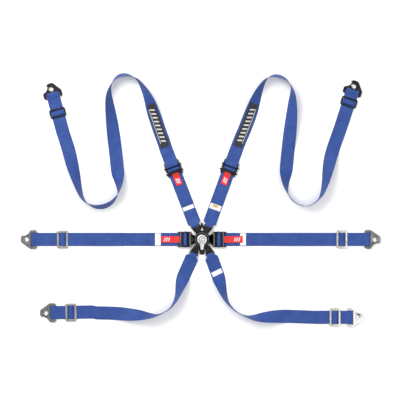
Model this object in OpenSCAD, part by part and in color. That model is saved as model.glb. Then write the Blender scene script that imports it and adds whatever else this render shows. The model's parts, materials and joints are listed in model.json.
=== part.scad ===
// Six-point racing harness: a rotary cam-lock buckle, two shoulder, two lap and
// two crotch straps, their adjusters, three-bar slides and snap hooks, laid flat.
// Millimetres, +Z up. The origin is on the buckle's axis, at its back face.
// A strap's route is a row of [x, y, twist] points: twist turns the webbing about
// its own line, and the webbing always stands with its lower edge on the ground.

/* [Webbing] */
// Width of the webbing
web_w = 50; // [40:1:52]
// Thickness of the webbing
web_t = 1.5; // [1.2:0.1:1.9]
// Gap between two layers of webbing that lie on each other
layer_gap = 0.2; // [0.1:0.05:0.4]
// Gap between webbing and the metal it wraps or passes
web_gap = 0.3; // [0.2:0.05:0.6]
// Length of the sewn end that holds a bar
sewn_len = 55; // [45:1:75]

/* [Buckle] */
// Radius of the buckle's round body
buckle_r = 28; // [27:0.5:34]
// Thickness of the pad behind the buckle
pad_t = 3; // [2:0.5:4]
// Thickness of the buckle's base plate
base_t = 3; // [2.5:0.5:5]
// Thickness of the tongues' plate
tongue_t = 2.5; // [2:0.25:3.25]
// Wall of the buckle's cover
cover_wall = 2.5; // [2:0.25:3.5]
// Radius of the circle that the latch pins stand on
pin_ring_r = 17; // [16:0.5:18]
// Radius of a latch pin
pin_r = 2.5; // [2:0.25:3]
// How deep a latch pin stands in its tongue
pin_depth = 1.8; // [1.5:0.1:2.2]
// Lift of the latch plate when the lever is turned
latch_lift = 5; // [4:0.5:6]
// Travel of the tongues when the lever is turned
release_travel = 12; // [10:1:14]

/* [Lever] */
// Radius of the release lever's disc
lever_r = 18.5; // [16:0.5:24]
// Thickness of the release lever's disc
lever_t = 5; // [4:0.5:8]
// Reach of the lever's paddle from the axis
paddle_reach = 39; // [34:1:48]
// Width of the lever's paddle
paddle_w = 12; // [9:1:16]
// Radius of the pivot post
post_r = 3.5; // [3:0.25:4]
// Running clearance on the post and the latch pins
run_gap = 0.1; // [0.05:0.05:0.2]

/* [Adjusters] */
// Radius of the sliding lock bar
lock_r = 3; // [2.5:0.25:3.5]
// Travel of the lock bar in its slots
lock_travel = 2.5; // [1.5:0.5:3]
// Thickness of an adjuster's side rails
rail_t = 3; // [2:0.5:4]
// Distance from a shoulder lock bar to the bar that holds its pull tab
tab_bar_at = 17; // [16:0.5:22]
// Distance from a lap lock bar to the bar that holds its pull tab
lap_tab_at = 22; // [18:0.5:26]
// Radius of the bar that holds the pull tab
tab_bar_r = 2.5; // [2:0.25:3]
// Width of the pull tabs
tab_w = 25; // [18:1:32]
// Length of the pull tabs on the lap straps
lap_tab_len = 70; // [50:1:80]
// Length of the pull tabs on the shoulder straps
shoulder_tab_len = 48; // [40:1:80]
// Thickness of the pull tabs' webbing
tab_t = 0.8; // [0.6:0.1:1]

/* [Slides and hooks] */
// Length of a three-bar slide along the strap
slide_len = 42; // [40:1:50]
// Thickness of a three-bar slide
slide_t = 3; // [2:0.5:4]
// Width of a slide's outer bars
slide_bar = 7.5; // [6:0.5:8]
// Rim of a slide beside the webbing
slide_rim = 9; // [6:0.5:12]
// Length of the smaller slides on the shoulder straps
shoulder_slide_len = 35; // [34:1:46]
// Width of the smaller slides' outer bars
shoulder_slide_bar = 6; // [5:0.5:6.5]
// Rim of the smaller slides beside the webbing
shoulder_slide_rim = 6; // [5:0.5:9]
// Thickness of a snap hook's plate
hook_t = 4; // [3:0.5:5]
// Radius of the round bar that holds the webbing in a hook
hook_bar_r = 3; // [2.5:0.25:3.5]
// Radius of a snap hook's eye
eye_r = 8; // [7:0.5:9]
// Width of the throat that leads into the eye
throat_w = 11; // [9.5:0.25:12]
// Thickness of a hook's spring gate
gate_t = 2.4; // [1.6:0.2:3]

/* [Straps] */
// Distance from the buckle's axis to the slide on the left lap strap
lap_reach_left = 530; // [400:5:680]
// Distance from the buckle's axis to the slide on the right lap strap
lap_reach_right = 531; // [400:5:680]
// Distance from the buckle's axis to a shoulder tongue's webbing bar
shoulder_reach = 57; // [56:1:66]
// Distance from the buckle's axis to a crotch tongue's webbing bar
crotch_reach = 64; // [63:1:74]
// Width that the webbing is folded to at a tongue's bar
tongue_end_w = 28; // [24:1:36]
// Free end of webbing past a shoulder or crotch slide
tail_len = 54; // [30:1:70]
// Thickness of the sewn labels
label_t = 0.4; // [0.3:0.1:0.6]
// Thickness of the shoulder patches
patch_t = 1; // [0.6:0.1:1.5]
// Width of the shoulder patches
patch_w = 34; // [28:1:38]

/* [Hidden] */
$fn = 48;
SIDES = ["left", "right"];
STRAPS = ["shoulder_left", "shoulder_right", "lap_left", "lap_right", "crotch_left", "crotch_right"];

// Heights of the buckle's layers
slip = 0.3;
base_z = pad_t;
tongue_z = base_z + base_t + slip;
wedge_z = tongue_z + tongue_t + 0.5;
guide_t = 3;
plate_z = wedge_z + guide_t + 1.7;
plate_t = 2;
plate_r = buckle_r - cover_wall - 1;
cover_inner_z = plate_z + plate_t + latch_lift + slip;
cover_top_z = cover_inner_z + 2;
lever_z = cover_top_z + 0.5;
post_head_z = lever_z + lever_t + slip;
post_head_t = 1.5;
drum_r = post_r + 2.5;
spring_wire_r = 0.7;

// The six tongue places: the angle of each channel in the buckle
TONGUE_ANGLES = [120, 60, 180, 0, 238, 301];
// The angle and the distance at which each tongue's webbing bar is
BAR_ANGLES = [116, 64, 180, 0, 240, 299];
TONGUE_REACH = [shoulder_reach, shoulder_reach, 0, 0, crotch_reach, crotch_reach];
fixed_place = 2;
neck_w = 15;
channel_gap = 0.3;
pin_slack = release_travel * pin_depth / latch_lift + slip;
SCREW_ANGLES = [90, 209, 269.5, 330.5];
screw_ring_r = buckle_r - 5.5;
screw_r = 1.6;

// Webbing heights: on the ground, and lying on one layer
z_low = web_t / 2;
z_high = z_low + web_t + layer_gap;
stack_top = 2 * web_t + layer_gap;

// Adjuster: a runs from the lock bar towards the end that the free webbing leaves by
lock_fold_r = lock_r + web_gap + web_t / 2;
lock_z = web_t / 2 + lock_fold_r;
fold_top_z = lock_z + lock_fold_r;
tab_loop_r = tab_bar_r + web_gap + tab_t;
tab_bar_z = stack_top + 0.25 + tab_loop_r;
rail_in = web_w / 2 + 1.2;
rail_out = rail_in + rail_t;
rail_top = tab_bar_z + tab_loop_r + web_gap + 2;
loop_bar_at = 14;
loop_bar_z = web_t + web_gap + lock_r;
tab_z = stack_top + label_t + 0.45;
back_bar_at = 16.5;
back_bar_r = 4;
patch_gap = 0.75;

// Three-bar slide and hook
slide_z = stack_top + 0.4;
window_in = 3.5;
over_z = slide_z + slide_t + web_gap + web_t / 2;
hook_fold_r = hook_bar_r + web_gap + web_t / 2;
hook_z = web_t / 2 + hook_fold_r;
slot_edge = hook_fold_r + web_t / 2 + 0.8;
hook_half = web_w / 2 + 11;
throat_turn = 62;
gate_out = eye_r + 5;
gate_in = 10.5;

// Each end: slide's centre, heading towards the hook, distance from the slide to the
// edge of the hook's slot, free end past the slide, side of the hook's throat
lap_tail_left = 231 - slide_len / 2;
lap_tail_right = 256 - slide_len / 2;
ENDS = [
    [[-548, 480], 105, 82, tail_len, 1],
    [[558, 521], 72, 51, tail_len, 1],
    [[-lap_reach_left, 0], 180, 120, lap_tail_left, -1],
    [[lap_reach_right, 0], 0, 109, lap_tail_right, -1],
    [[-498, -277], 181, 79, tail_len, 1],
    [[505, -296], 0, 69, tail_len, 1]
];

// Shoulder straps between buckle and adjuster: heading, and distance from the
// tongue's bar to the lock bar
SHOULDER_HEADINGS = [111, 70];
shoulder_lock_at = [231, 232];
shoulder_tail_to = [84, 89];
lap_lock_at = 62;
lap_tail_end = [204, 191];
CROTCH_HEADINGS = [246, 290.1];

// Routes of the upper shoulder straps, from the adjuster's sewn end to the slide's
// free end, and of the crotch straps, from the tongue's sewn end
SHOULDER_ROUTES = [
    [[-148, 378, 0], [-162, 416, 0], [-175, 454, -6], [-188, 492, -20], [-201, 530, -42],
     [-219, 568, -63], [-243, 604, -82], [-270, 620, -98], [-293, 624, -106], [-315, 620, -106],
     [-334, 604, -98], [-347, 579, -86], [-352, 549, -68], [-351, 520, -54], [-346, 480, -40],
     [-338, 416, -20], [-329, 340, 0], [-321, 264, 8], [-316, 226, 42], [-315, 200, 65],
     [-319, 176, 85], [-330, 155, 98], [-346, 138, 106], [-370, 126, 110], [-395, 123, 108],
     [-418, 128, 100], [-440, 141, 88], [-457, 165, 76], [-470, 204, 60], [-480, 240, 44],
     [-492, 283, 24], [-507, 340, 4], [-521, 385, 0]],
    [[147, 384, 0], [161, 416, 0], [176, 454, 6], [190, 492, 20], [204, 532, 42],
     [222, 574, 64], [241, 604, 82], [262, 618, 98], [285, 620, 106], [308, 613, 104],
     [326, 600, 96], [338, 578, 88], [343, 552, 70], [343, 522, 54], [341, 480, 38],
     [335, 416, 18], [327, 340, 0], [320, 270, -10], [317, 230, -45], [319, 200, -68],
     [326, 174, -86], [340, 151, -90], [364, 134, -90], [395, 127, -90], [420, 134, -90],
     [441, 152, -88], [456, 176, -76], [468, 216, -60], [476, 255, -42], [488, 310, -15],
     [502, 355, 0], [520, 406, 0]]
];
CROTCH_ROUTES = [
    [[-69, -138, 0], [-80, -168, 34], [-90, -203, 62], [-103, -235, 78], [-121, -260, 87],
     [-146, -277, 90], [-172, -287, 84], [-200, -289, 66], [-236, -287, 42], [-274, -285, 22],
     [-312, -282, 5], [-350, -280, 0], [-400, -279, 0]],
    [[61, -138, 0], [71, -170, -34], [83, -207, -60], [97, -238, -78], [119, -264, -87],
     [145, -282, -90], [172, -292, -84], [200, -296, -66], [236, -295, -42], [274, -293, -22],
     [312, -292, -5], [350, -293, 0], [404, -295, 0]]
];

// ---------- vectors and paths ----------
function unit(v) = v / norm(v);
function ahead(p, h, s, u = 0) = [p.x + s * cos(h) - u * sin(h), p.y + s * sin(h) + u * cos(h)];
function reversed(list) = [for (i = [len(list) - 1:-1:0]) list[i]];
function last(list) = list[len(list) - 1];

// Point at share u of the stretch from b to c on a smooth curve through a, b, c and d
function curve_point(a, b, c, d, u) =
    b + (c - a) * u / 2 + (2 * a - 5 * b + 4 * c - d) * u * u / 2 + (3 * b - a - 3 * c + d) * u * u * u / 2;

// Smooth curve through the points, with n steps from each to the next
function smooth(p, n) = concat(
    [for (i = [0:len(p) - 2]) for (k = [0:n - 1])
        curve_point(p[max(i - 1, 0)], p[i], p[i + 1], p[min(i + 2, len(p) - 1)], k / n)],
    [last(p)]);

// Half turn from below a bar to above it, on the side that way points to
function half_turn(at, z, r, way, n = 8) =
    [for (k = [0:n]) [at + way * r * sin(180 * k / n), z - r * cos(180 * k / n)]];

// Side view path moved by d towards its left
function moved(p, d) = [for (i = [0:len(p) - 1])
    let (t = unit(p[min(i + 1, len(p) - 1)] - p[max(i - 1, 0)])) p[i] + d * [-t.y, t.x]];

// Side view path [s, z] stood on the line from o with heading h: [centre, width direction]
function stood(o, h, path) = [for (p = path) let (c = ahead(o, h, p[0])) [[c.x, c.y, p[1]], ahead([0, 0], h, 0, 1)]];

// Plan route [x, y, twist] as [centre, width direction]
function twisted(route) = [for (i = [0:len(route) - 1])
    let (
        t = unit([for (k = [0:1]) route[min(i + 1, len(route) - 1)][k] - route[max(i - 1, 0)][k]]),
        a = route[i][2],
        z = web_w / 2 * abs(sin(a)) + web_t / 2 * abs(cos(a))
    ) [[route[i].x, route[i].y, z], [-t.y * cos(a), t.x * cos(a), sin(a)]]];

function flat3(v) = len(v) == 3 ? v : [v.x, v.y, 0];
function run_dir(line, i) = unit(line[min(i + 1, len(line) - 1)][0] - line[max(i - 1, 0)][0]);

// Webbing of thickness t along a line of [centre, width direction], set off by rise from
// that line. Its width w is one number or a list with one for each point.
module webbing(line, w, t, rise = 0) {
    n = len(line);
    rings = [for (i = [0:n - 1])
        let (
            wd = unit(flat3(line[i][1])),
            up = unit(cross(run_dir(line, i), wd)),
            c = line[i][0] + rise * up,
            half = (is_list(w) ? w[i] : w) / 2
        )
        [c - wd * half - up * t / 2, c + wd * half - up * t / 2,
         c + wd * half + up * t / 2, c - wd * half + up * t / 2]];
    // Both faces are split along the same diagonal, so that a twisted stretch keeps its thickness
    split = [[0, 4, 5], [0, 5, 1], [1, 5, 6], [1, 6, 2], [2, 6, 3], [6, 7, 3], [3, 7, 4], [3, 4, 0]];
    sides = [for (i = [0:n - 2]) for (f = split) f + 4 * i * [1, 1, 1]];
    e = 4 * (n - 1);
    polyhedron([for (r = rings) each r], concat([[0, 1, 2, 3]], sides, [[e + 3, e + 2, e + 1, e]]));
}

// Outline through corners [x, y, radius], each rounded by an arc of its radius
function corner_arc(a, b, c, r, n = 6) =
    let (
        u = unit([a.x - b.x, a.y - b.y]),
        v = unit([c.x - b.x, c.y - b.y]),
        half = acos(u * v) / 2,
        centre = [b.x, b.y] + unit(u + v) * r / sin(half),
        from = atan2(b.y + u.y * r / tan(half) - centre.y, b.x + u.x * r / tan(half) - centre.x),
        to = atan2(b.y + v.y * r / tan(half) - centre.y, b.x + v.x * r / tan(half) - centre.x),
        turn = (to - from + 540) % 360 - 180
    ) [for (k = [0:n]) centre + r * [cos(from + turn * k / n), sin(from + turn * k / n)]];
function rounded(p) = [for (i = [0:len(p) - 1])
    each p[i][2] == 0 ? [[p[i].x, p[i].y]]
        : corner_arc(p[(i + len(p) - 1) % len(p)], p[i], p[(i + 1) % len(p)], p[i][2])];

// A bar along Y, centred on the XZ point [x, z]
module cross_bar(at, z, r, half) translate([at, half, z]) rotate([90, 0, 0]) cylinder(r = r, h = 2 * half);

// A coil of round wire about Z
module coil(r, wire, z, h, turns) {
    steps = 16;
    n = ceil(turns * steps);
    sides = 8;
    points = [for (i = [0:n]) for (k = [0:sides - 1])
        let (a = 360 * i / steps, b = 360 * k / sides, d = r + wire * cos(b))
        [d * cos(a), d * sin(a), z + h * i / n + wire * sin(b)]];
    tube = [for (i = [0:n - 1]) for (k = [0:sides - 1])
        [i * sides + k, i * sides + (k + 1) % sides, (i + 1) * sides + (k + 1) % sides, (i + 1) * sides + k]];
    polyhedron(points, concat([[for (k = [sides - 1:-1:0]) k]], tube, [[for (k = [0:sides - 1]) n * sides + k]]));
}

// ---------- buckle ----------
module back_pad() {
    flap_w = 18;
    flap_reach = 58;
    spur_reach = 64;
    color([0.05, 0.05, 0.05]) linear_extrude(pad_t) difference() {
        union() {
            circle(r = buckle_r + 3);
            polygon(rounded([[-flap_w / 2 - 4, 0, 0], [-flap_w / 2, -flap_reach, 6],
                             [flap_w / 2, -flap_reach, 6], [flap_w / 2 + 4, 0, 0]]));
            polygon(rounded([[-15, 0, 0], [15, 0, 0], [12.5, buckle_r + 5, 4], [1.6, spur_reach, 1.5],
                             [-1.6, spur_reach, 1.5], [-12.5, buckle_r + 5, 4]]));
        }
        polygon(rounded([[-5.5, buckle_r + 6, 1], [5.5, buckle_r + 6, 1], [0, buckle_r + 19, 1]]));
    }
}

// One channel for each tongue, cut across a ring
module channels(z, h) {
    for (a = TONGUE_ANGLES) rotate(a)
        translate([0, -neck_w / 2 - channel_gap, z]) cube([buckle_r + 1, neck_w + 2 * channel_gap, h]);
}

module buckle_base() {
    wedge_r = pin_ring_r + 0.5;
    color([0.12, 0.12, 0.13]) difference() {
        union() {
            translate([0, 0, base_z]) cylinder(r = buckle_r, h = base_t);
            difference() {
                translate([0, 0, base_z + base_t]) cylinder(r = buckle_r, h = wedge_z - base_z - base_t);
                translate([0, 0, base_z + base_t]) cylinder(r = wedge_r, h = wedge_z);
                channels(base_z + base_t, wedge_z);
            }
            rotate(TONGUE_ANGLES[fixed_place]) translate([pin_ring_r, 0, base_z + base_t])
                cylinder(r = pin_r, h = wedge_z - base_z - base_t);
        }
        translate([0, 0, base_z - 1]) cylinder(r = post_r, h = base_t + 2);
        for (a = SCREW_ANGLES) rotate(a) translate([screw_ring_r, 0, base_z - 1]) {
            cylinder(r = screw_r + run_gap, h = wedge_z);
            cylinder(r = 2 * screw_r + run_gap, h = 1 + 1.8);
        }
    }
}

module guide_plate() {
    color([0.45, 0.45, 0.47]) difference() {
        translate([0, 0, wedge_z]) cylinder(r = buckle_r - cover_wall - 0.2, h = guide_t);
        translate([0, 0, wedge_z - 1]) cylinder(r = post_r + run_gap, h = guide_t + 2);
        for (i = [0:5]) if (i != fixed_place) rotate(TONGUE_ANGLES[i])
            translate([pin_ring_r, 0, wedge_z - 1]) cylinder(r = pin_r + run_gap, h = guide_t + 2);
        for (a = SCREW_ANGLES) rotate(a) translate([screw_ring_r, 0, wedge_z - 1])
            cylinder(r = screw_r + run_gap, h = guide_t + 2);
    }
}

module latch_plate() {
    color([0.7, 0.7, 0.72]) {
        difference() {
            translate([0, 0, plate_z]) cylinder(r = pin_ring_r + pin_r + 0.5, h = plate_t);
            translate([0, 0, plate_z - 1]) cylinder(r = drum_r + 1, h = plate_t + 2);
        }
        for (i = [0:5]) if (i != fixed_place) rotate(TONGUE_ANGLES[i])
            translate([pin_ring_r, 0, tongue_z + tongue_t - pin_depth])
                cylinder(r = pin_r, h = plate_z + 0.5 - tongue_z - tongue_t + pin_depth);
    }
}

module latch_spring() {
    lower = plate_z + plate_t + spring_wire_r + 0.1;
    upper = cover_inner_z - spring_wire_r - 0.1;
    color([0.75, 0.75, 0.77]) coil(drum_r + 4, spring_wire_r, lower, upper - lower, 2.5);
}

module buckle_cover() {
    rim = 1.5;
    color([0.06, 0.06, 0.065]) difference() {
        translate([0, 0, wedge_z]) rotate_extrude() polygon([
            [0, 0], [buckle_r, 0], [buckle_r, cover_top_z - wedge_z - rim],
            [buckle_r - rim, cover_top_z - wedge_z], [0, cover_top_z - wedge_z]]);
        translate([0, 0, wedge_z - 1]) cylinder(r = buckle_r - cover_wall, h = cover_inner_z - wedge_z + 1);
        translate([0, 0, wedge_z]) cylinder(r = drum_r + 0.4, h = cover_top_z);
    }
}

module cover_screws() {
    color([0.6, 0.6, 0.62]) for (a = SCREW_ANGLES) rotate(a) translate([screw_ring_r, 0, base_z]) {
        cylinder(r = 2 * screw_r, h = 1.7);
        cylinder(r = screw_r, h = wedge_z - base_z + guide_t);
    }
}

module lever_cam() {
    flange_z = wedge_z + guide_t + 0.2;
    color([0.5, 0.5, 0.52]) difference() {
        union() {
            translate([0, 0, flange_z]) cylinder(r = drum_r, h = lever_z - flange_z);
            translate([0, 0, flange_z]) cylinder(r = drum_r + 3, h = plate_z - flange_z - 0.2);
        }
        translate([0, 0, flange_z - 1]) cylinder(r = post_r + run_gap, h = lever_z);
    }
}

module lever_spring() {
    color([0.75, 0.75, 0.77]) coil(drum_r + 3, 0.5, cover_top_z + 0.6, 1.4, 1.5);
}

module release_lever() {
    color([0.78, 0.78, 0.8]) difference() {
        union() {
            translate([0, 0, lever_z]) rotate_extrude() polygon([
                [0, 0], [lever_r, 0], [lever_r, lever_t - 1.2], [lever_r - 1.2, lever_t], [0, lever_t]]);
            translate([0, 0, lever_z + 0.5]) linear_extrude(lever_t - 2) polygon(rounded([
                [-paddle_w / 2, 0, 0], [-paddle_w / 2, -paddle_reach, 4],
                [paddle_w / 2, -paddle_reach, 4], [paddle_w / 2, 0, 0]]));
        }
        translate([0, 0, lever_z - 1]) cylinder(r = post_r + run_gap, h = lever_t + 2);
        difference() {
            translate([0, 0, lever_z - 1]) cylinder(r = drum_r + 5, h = 3.2);
            translate([0, 0, lever_z - 1]) cylinder(r = drum_r, h = 4);
        }
    }
}

module pivot_post() {
    color([0.3, 0.3, 0.32]) {
        translate([0, 0, base_z]) cylinder(r = post_r, h = post_head_z - base_z);
        translate([0, 0, post_head_z]) cylinder(r = post_r + 2.5, h = post_head_t);
    }
}

// ---------- tongues ----------
// Half widths of a tongue's tip and neck, along its channel
function neck_outline(reach) = [
    [7.5, 3.4], [10, 4.8], [15.5, neck_w / 2], [reach, neck_w / 2],
    [reach, -neck_w / 2], [15.5, -neck_w / 2], [10, -4.8], [7.5, -3.4]];

// The opening that the latch pin or the fixed stud stands in
module latch_hole(slack) {
    hole_r = pin_r + 0.3;
    translate([pin_ring_r - slack, -hole_r, tongue_z - 1]) cube([slack, 2 * hole_r, tongue_t + 2]);
    for (x = [pin_ring_r - slack, pin_ring_r]) translate([x, 0, tongue_z - 1]) cylinder(r = hole_r, h = tongue_t + 2);
}

function tongue_bar(i) = ahead([0, 0], BAR_ANGLES[i], TONGUE_REACH[i]);
tongue_mid_z = tongue_z + tongue_t / 2;
tongue_bar_r = 2.5;
tongue_fold_r = tongue_bar_r + web_gap + web_t / 2;

// A plate tongue: its neck lies in channel i, and its webbing bar is square to heading h
module tongue(i, h) {
    ear_in = tongue_end_w / 2 + 0.8;
    ear_out = ear_in + 2.8;
    slot = tongue_fold_r + web_t / 2 + 0.4;
    root = buckle_r + 3 - TONGUE_REACH[i];
    difference() {
        translate([0, 0, tongue_z]) linear_extrude(tongue_t) union() {
            rotate(TONGUE_ANGLES[i]) polygon(neck_outline(buckle_r + 8));
            translate(tongue_bar(i)) rotate(h)
                polygon(rounded([[root, 9, 0], [-12, ear_out - 3, 4], [-4, ear_out, 3], [3, ear_out, 2],
                                 [3, -ear_out, 2], [-4, -ear_out, 3], [-12, -ear_out + 3, 4], [root, -9, 0]]));
        }
        translate(flat3(tongue_bar(i))) rotate(h)
            translate([-slot, -ear_in, tongue_z - 1]) cube([slot + 10, 2 * ear_in, tongue_t + 2]);
        rotate(TONGUE_ANGLES[i]) latch_hole(pin_slack);
    }
    translate(flat3(tongue_bar(i))) rotate(h) cross_bar(0, tongue_mid_z, tongue_bar_r, ear_out - 1);
}

module shoulder_tongue(k) color([0.1, 0.1, 0.11]) tongue(k, SHOULDER_HEADINGS[k]);
module crotch_tongue(k) color([0.1, 0.1, 0.11]) tongue(4 + k, CROTCH_HEADINGS[k]);

// ---------- adjusters ----------
// Side rails with slots for the lock bar and a bridge over the pull tab's loop.
// The frame's own X runs the way the free webbing leaves.
module adjuster_frame(back, tab_at, lugs) {
    front = tab_at + 9;
    slot_r = lock_r - 0.8 + 0.25;
    for (s = [-1, 1]) difference() {
        union() {
            translate([0, s > 0 ? rail_out : -rail_in, 0]) rotate([90, 0, 0]) linear_extrude(rail_t)
                polygon(rounded([[-back, 1, 1.5], [front, 1, 2], [front, 7.5, 2], [front - 7, rail_top, 3],
                                 [-back + 10, rail_top, 4], [-back, 7, 2]]));
            if (lugs) for (x = [-10, 12]) translate([x - 3, s > 0 ? rail_out : -rail_out - 5, 3]) cube([6, 5, 5]);
        }
        translate([0, s * (rail_in + rail_t / 2), lock_z]) rotate([90, 0, 0]) {
            for (x = [0, lock_travel]) translate([x, 0, -rail_t]) cylinder(r = slot_r, h = 2 * rail_t);
            translate([0, -slot_r, -rail_t]) cube([lock_travel, 2 * slot_r, 2 * rail_t]);
        }
    }
    cross_bar(tab_at, tab_bar_z, tab_bar_r, rail_in + 1);
    translate([tab_at - 11, -rail_out, rail_top - 2]) cube([12, 2 * rail_out, 2]);
}

module lock_bar() {
    knurl = 0.35;
    ends = rail_out + 0.4;
    cross_bar(0, lock_z, lock_r - 0.8, ends);
    cross_bar(0, lock_z, lock_r - knurl, rail_in - 0.4);
    for (a = [0:30:330]) translate([0, 0, lock_z]) rotate([0, a, 0])
        translate([lock_r - knurl - 0.4, -rail_in + 0.4, -0.4]) cube([knurl + 0.2, 2 * rail_in - 0.8, 0.8]);
    for (s = [-1, 1]) translate([0, s * (ends + 0.7), 0]) cross_bar(0, lock_z, lock_r, 0.7);
}

// A doubled pull tab, sewn round its bar
module pull_tab(tab_at, length) {
    inner = tab_bar_r + web_gap;
    flat_t = 2 * tab_t + 0.1;
    translate([tab_at, tab_w / 2, 0]) rotate([90, 0, 0]) linear_extrude(tab_w) difference() {
        union() {
            translate([0, tab_bar_z]) circle(r = tab_loop_r);
            polygon(rounded([[0, tab_bar_z + tab_loop_r - 0.02, 0], [0, tab_bar_z - tab_loop_r + 0.02, 0],
                             [3, tab_z, 0], [length, tab_z, 0.6], [length, tab_z + flat_t, 0.6],
                             [12, tab_z + flat_t, 6]]));
        }
        translate([0, tab_bar_z]) circle(r = inner);
    }
}

// Where each adjuster's lock bar is, and the way its free webbing leaves
function shoulder_lock(k) = ahead(tongue_bar(k), SHOULDER_HEADINGS[k], shoulder_lock_at[k]);
function lap_turn(k) = k == 0 ? 180 : 0;
module at_shoulder(k) translate(flat3(shoulder_lock(k))) rotate(SHOULDER_HEADINGS[k] + 180) children();
module at_lap(k) rotate(lap_turn(k)) translate([lap_lock_at, 0, 0]) children();

module shoulder_adjuster(k) color([0.06, 0.06, 0.065]) at_shoulder(k) {
    adjuster_frame(30, tab_bar_at, true);
    cross_bar(-loop_bar_at, loop_bar_z, lock_r, rail_in + 1);
}

module lap_adjuster(k) color([0.06, 0.06, 0.065]) {
    root = buckle_r + 6;
    plate_end = lap_lock_at - back_bar_at + back_bar_r;
    at_lap(k) {
        adjuster_frame(22, lap_tab_at, false);
        cross_bar(-back_bar_at, tongue_mid_z, back_bar_r, rail_in + 1);
    }
    rotate(lap_turn(k)) difference() {
        translate([0, 0, tongue_z]) linear_extrude(tongue_t) union() {
            polygon(neck_outline(root));
            polygon([[root, neck_w / 2], [root + 9, rail_in + 1], [plate_end, rail_in + 1],
                     [plate_end, -rail_in - 1], [root + 9, -rail_in - 1], [root, -neck_w / 2]]);
        }
        latch_hole(k == 0 ? 0.01 : pin_slack);
    }
}

module shoulder_lock_bar(k) color([0.12, 0.12, 0.13]) at_shoulder(k) lock_bar();
module lap_lock_bar(k) color([0.4, 0.4, 0.42]) at_lap(k) lock_bar();
module shoulder_pull_tab(k) color([0.85, 0.1, 0.12]) at_shoulder(k) pull_tab(tab_bar_at, shoulder_tab_len);
module lap_pull_tab(k) color([0.85, 0.1, 0.12]) at_lap(k) pull_tab(lap_tab_at, lap_tab_len);

// ---------- straps ----------
// Sewn end round a bar at height z: out along the lower layer, round the bar on the side
// away from the strap, back on top of the sewn end and down to the ground
function sewn_end(z, r) =
    let (top = z + r - 0.6) concat(
        [[sewn_len, z_low], [18, z_low], [12, (z_low + z - r) / 2], [6, z - r]],
        half_turn(0, z, r, -1),
        [for (s = [8:5.5:30]) [s, top + (z_high - top) * (s - 8) / 22]],
        [[sewn_len + 1, z_high], [sewn_len + 8, z_low]]);

// Widths of webbing along a line, folded narrow at the bar and full a little way from it
function narrowed(line, bar) = [for (p = line)
    let (u = min(max((norm([p[0].x - bar.x, p[0].y - bar.y]) - 6) / 14, 0), 1))
    tongue_end_w + (web_w - tongue_end_w) * u * u * (3 - 2 * u)];

// Fold round a lock bar, from the ground layer to the layer on it, in the adjuster's frame
function lock_fold() = concat(
    half_turn(0, lock_z, lock_fold_r, -1),
    [[5, fold_top_z], [14, z_high]]);

// Length of slide i, and how far its windows reach from its centre
function slide_length(i) = i < 2 ? shoulder_slide_len : slide_len;
function window_out(i) = slide_length(i) / 2 - (i < 2 ? shoulder_slide_bar : slide_bar);

// The way through slide i, from a distance before its centre to a distance past it
function through_slide(i, from, to) =
    let (out = window_out(i)) concat(
        [[from, z_low], [-out, z_low], [2.5 - out, z_low + 0.45], [-window_in - 1.5, over_z - 0.55]],
        [[-window_in, over_z], [window_in, over_z]],
        [[window_in + 1.5, over_z - 0.55], [out - 2.5, z_low + 0.45], [out, z_low], [to, z_low]]);

// Strap end: through the slide, round the hook's bar, back over itself and out as a free end
function strap_end(i) =
    let (
        bar = ENDS[i][2] - slot_edge,
        tail_end = -slide_length(i) / 2 - ENDS[i][3],
        out = through_slide(i, tail_end, bar - 22)
    ) concat([[tail_end - 6, z_low]], out, half_turn(bar, hook_z, hook_fold_r, 1),
             [[bar - 6, hook_z + hook_fold_r - 1.2]], reversed(moved(out, web_t + layer_gap)));
function end_line(i) = stood(ENDS[i][0], ENDS[i][1], strap_end(i));

function loop_bar(k) = ahead(shoulder_lock(k), SHOULDER_HEADINGS[k], loop_bar_at);
function shoulder_route(k) = twisted(smooth(SHOULDER_ROUTES[k], 3));
function upper_line(k) = concat(
    stood(loop_bar(k), SHOULDER_HEADINGS[k], sewn_end(loop_bar_z, lock_fold_r)),
    shoulder_route(k),
    end_line(k));

function lower_line(k) =
    let (
        lock_at = shoulder_lock_at[k],
        fold = [for (p = lock_fold()) [lock_at - p[0], p[1]]]
    ) stood(tongue_bar(k), SHOULDER_HEADINGS[k], concat(
        sewn_end(tongue_mid_z, tongue_fold_r), [[lock_at - 30, z_low]], fold,
        [[lock_at - 60, z_high], [shoulder_tail_to[k], z_high]]));

function lap_line(k) =
    let (
        fold = [for (p = reversed(lock_fold())) [lap_lock_at + p[0], p[1]]],
        slide_at = norm(ENDS[2 + k][0])
    ) concat(
        stood([0, 0], lap_turn(k), concat([[lap_tail_end[k], z_high], [lap_lock_at + 60, z_high]], fold,
            [[lap_lock_at + 30, z_low], [lap_tail_end[k] + 20, z_low]])),
        end_line(2 + k));

function crotch_line(k) = concat(
    stood(tongue_bar(4 + k), CROTCH_HEADINGS[k], sewn_end(tongue_mid_z, tongue_fold_r)),
    twisted(smooth(CROTCH_ROUTES[k], 2)),
    end_line(4 + k));

module strap(line, w = web_w) color([0.2, 0.33, 0.66]) webbing(line, w, web_t);
module lower_strap(k) strap(lower_line(k), narrowed(lower_line(k), tongue_bar(k)));
module crotch_strap(k) strap(crotch_line(k), narrowed(crotch_line(k), tongue_bar(4 + k)));

// The patch lies on the shoulder strap from just past its sewn end
function patch_line(k) = concat(
    stood(loop_bar(k), SHOULDER_HEADINGS[k], [[sewn_len + 20, z_low]]),
    [for (i = [0:10]) shoulder_route(k)[i]]);
module shoulder_patch(k) color([0.04, 0.04, 0.04])
    webbing(patch_line(k), patch_w, patch_t, (web_t + patch_t) / 2 + patch_gap);

// A sewn label, s along the line from o with heading h, on a surface at height z
module label(o, h, s, z, length, w, turn = 0) color([0.95, 0.95, 0.95])
    translate(flat3(ahead(o, h, s))) rotate(h + turn) translate([-length / 2, -w / 2, z + 0.05]) cube([length, w, label_t]);

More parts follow.
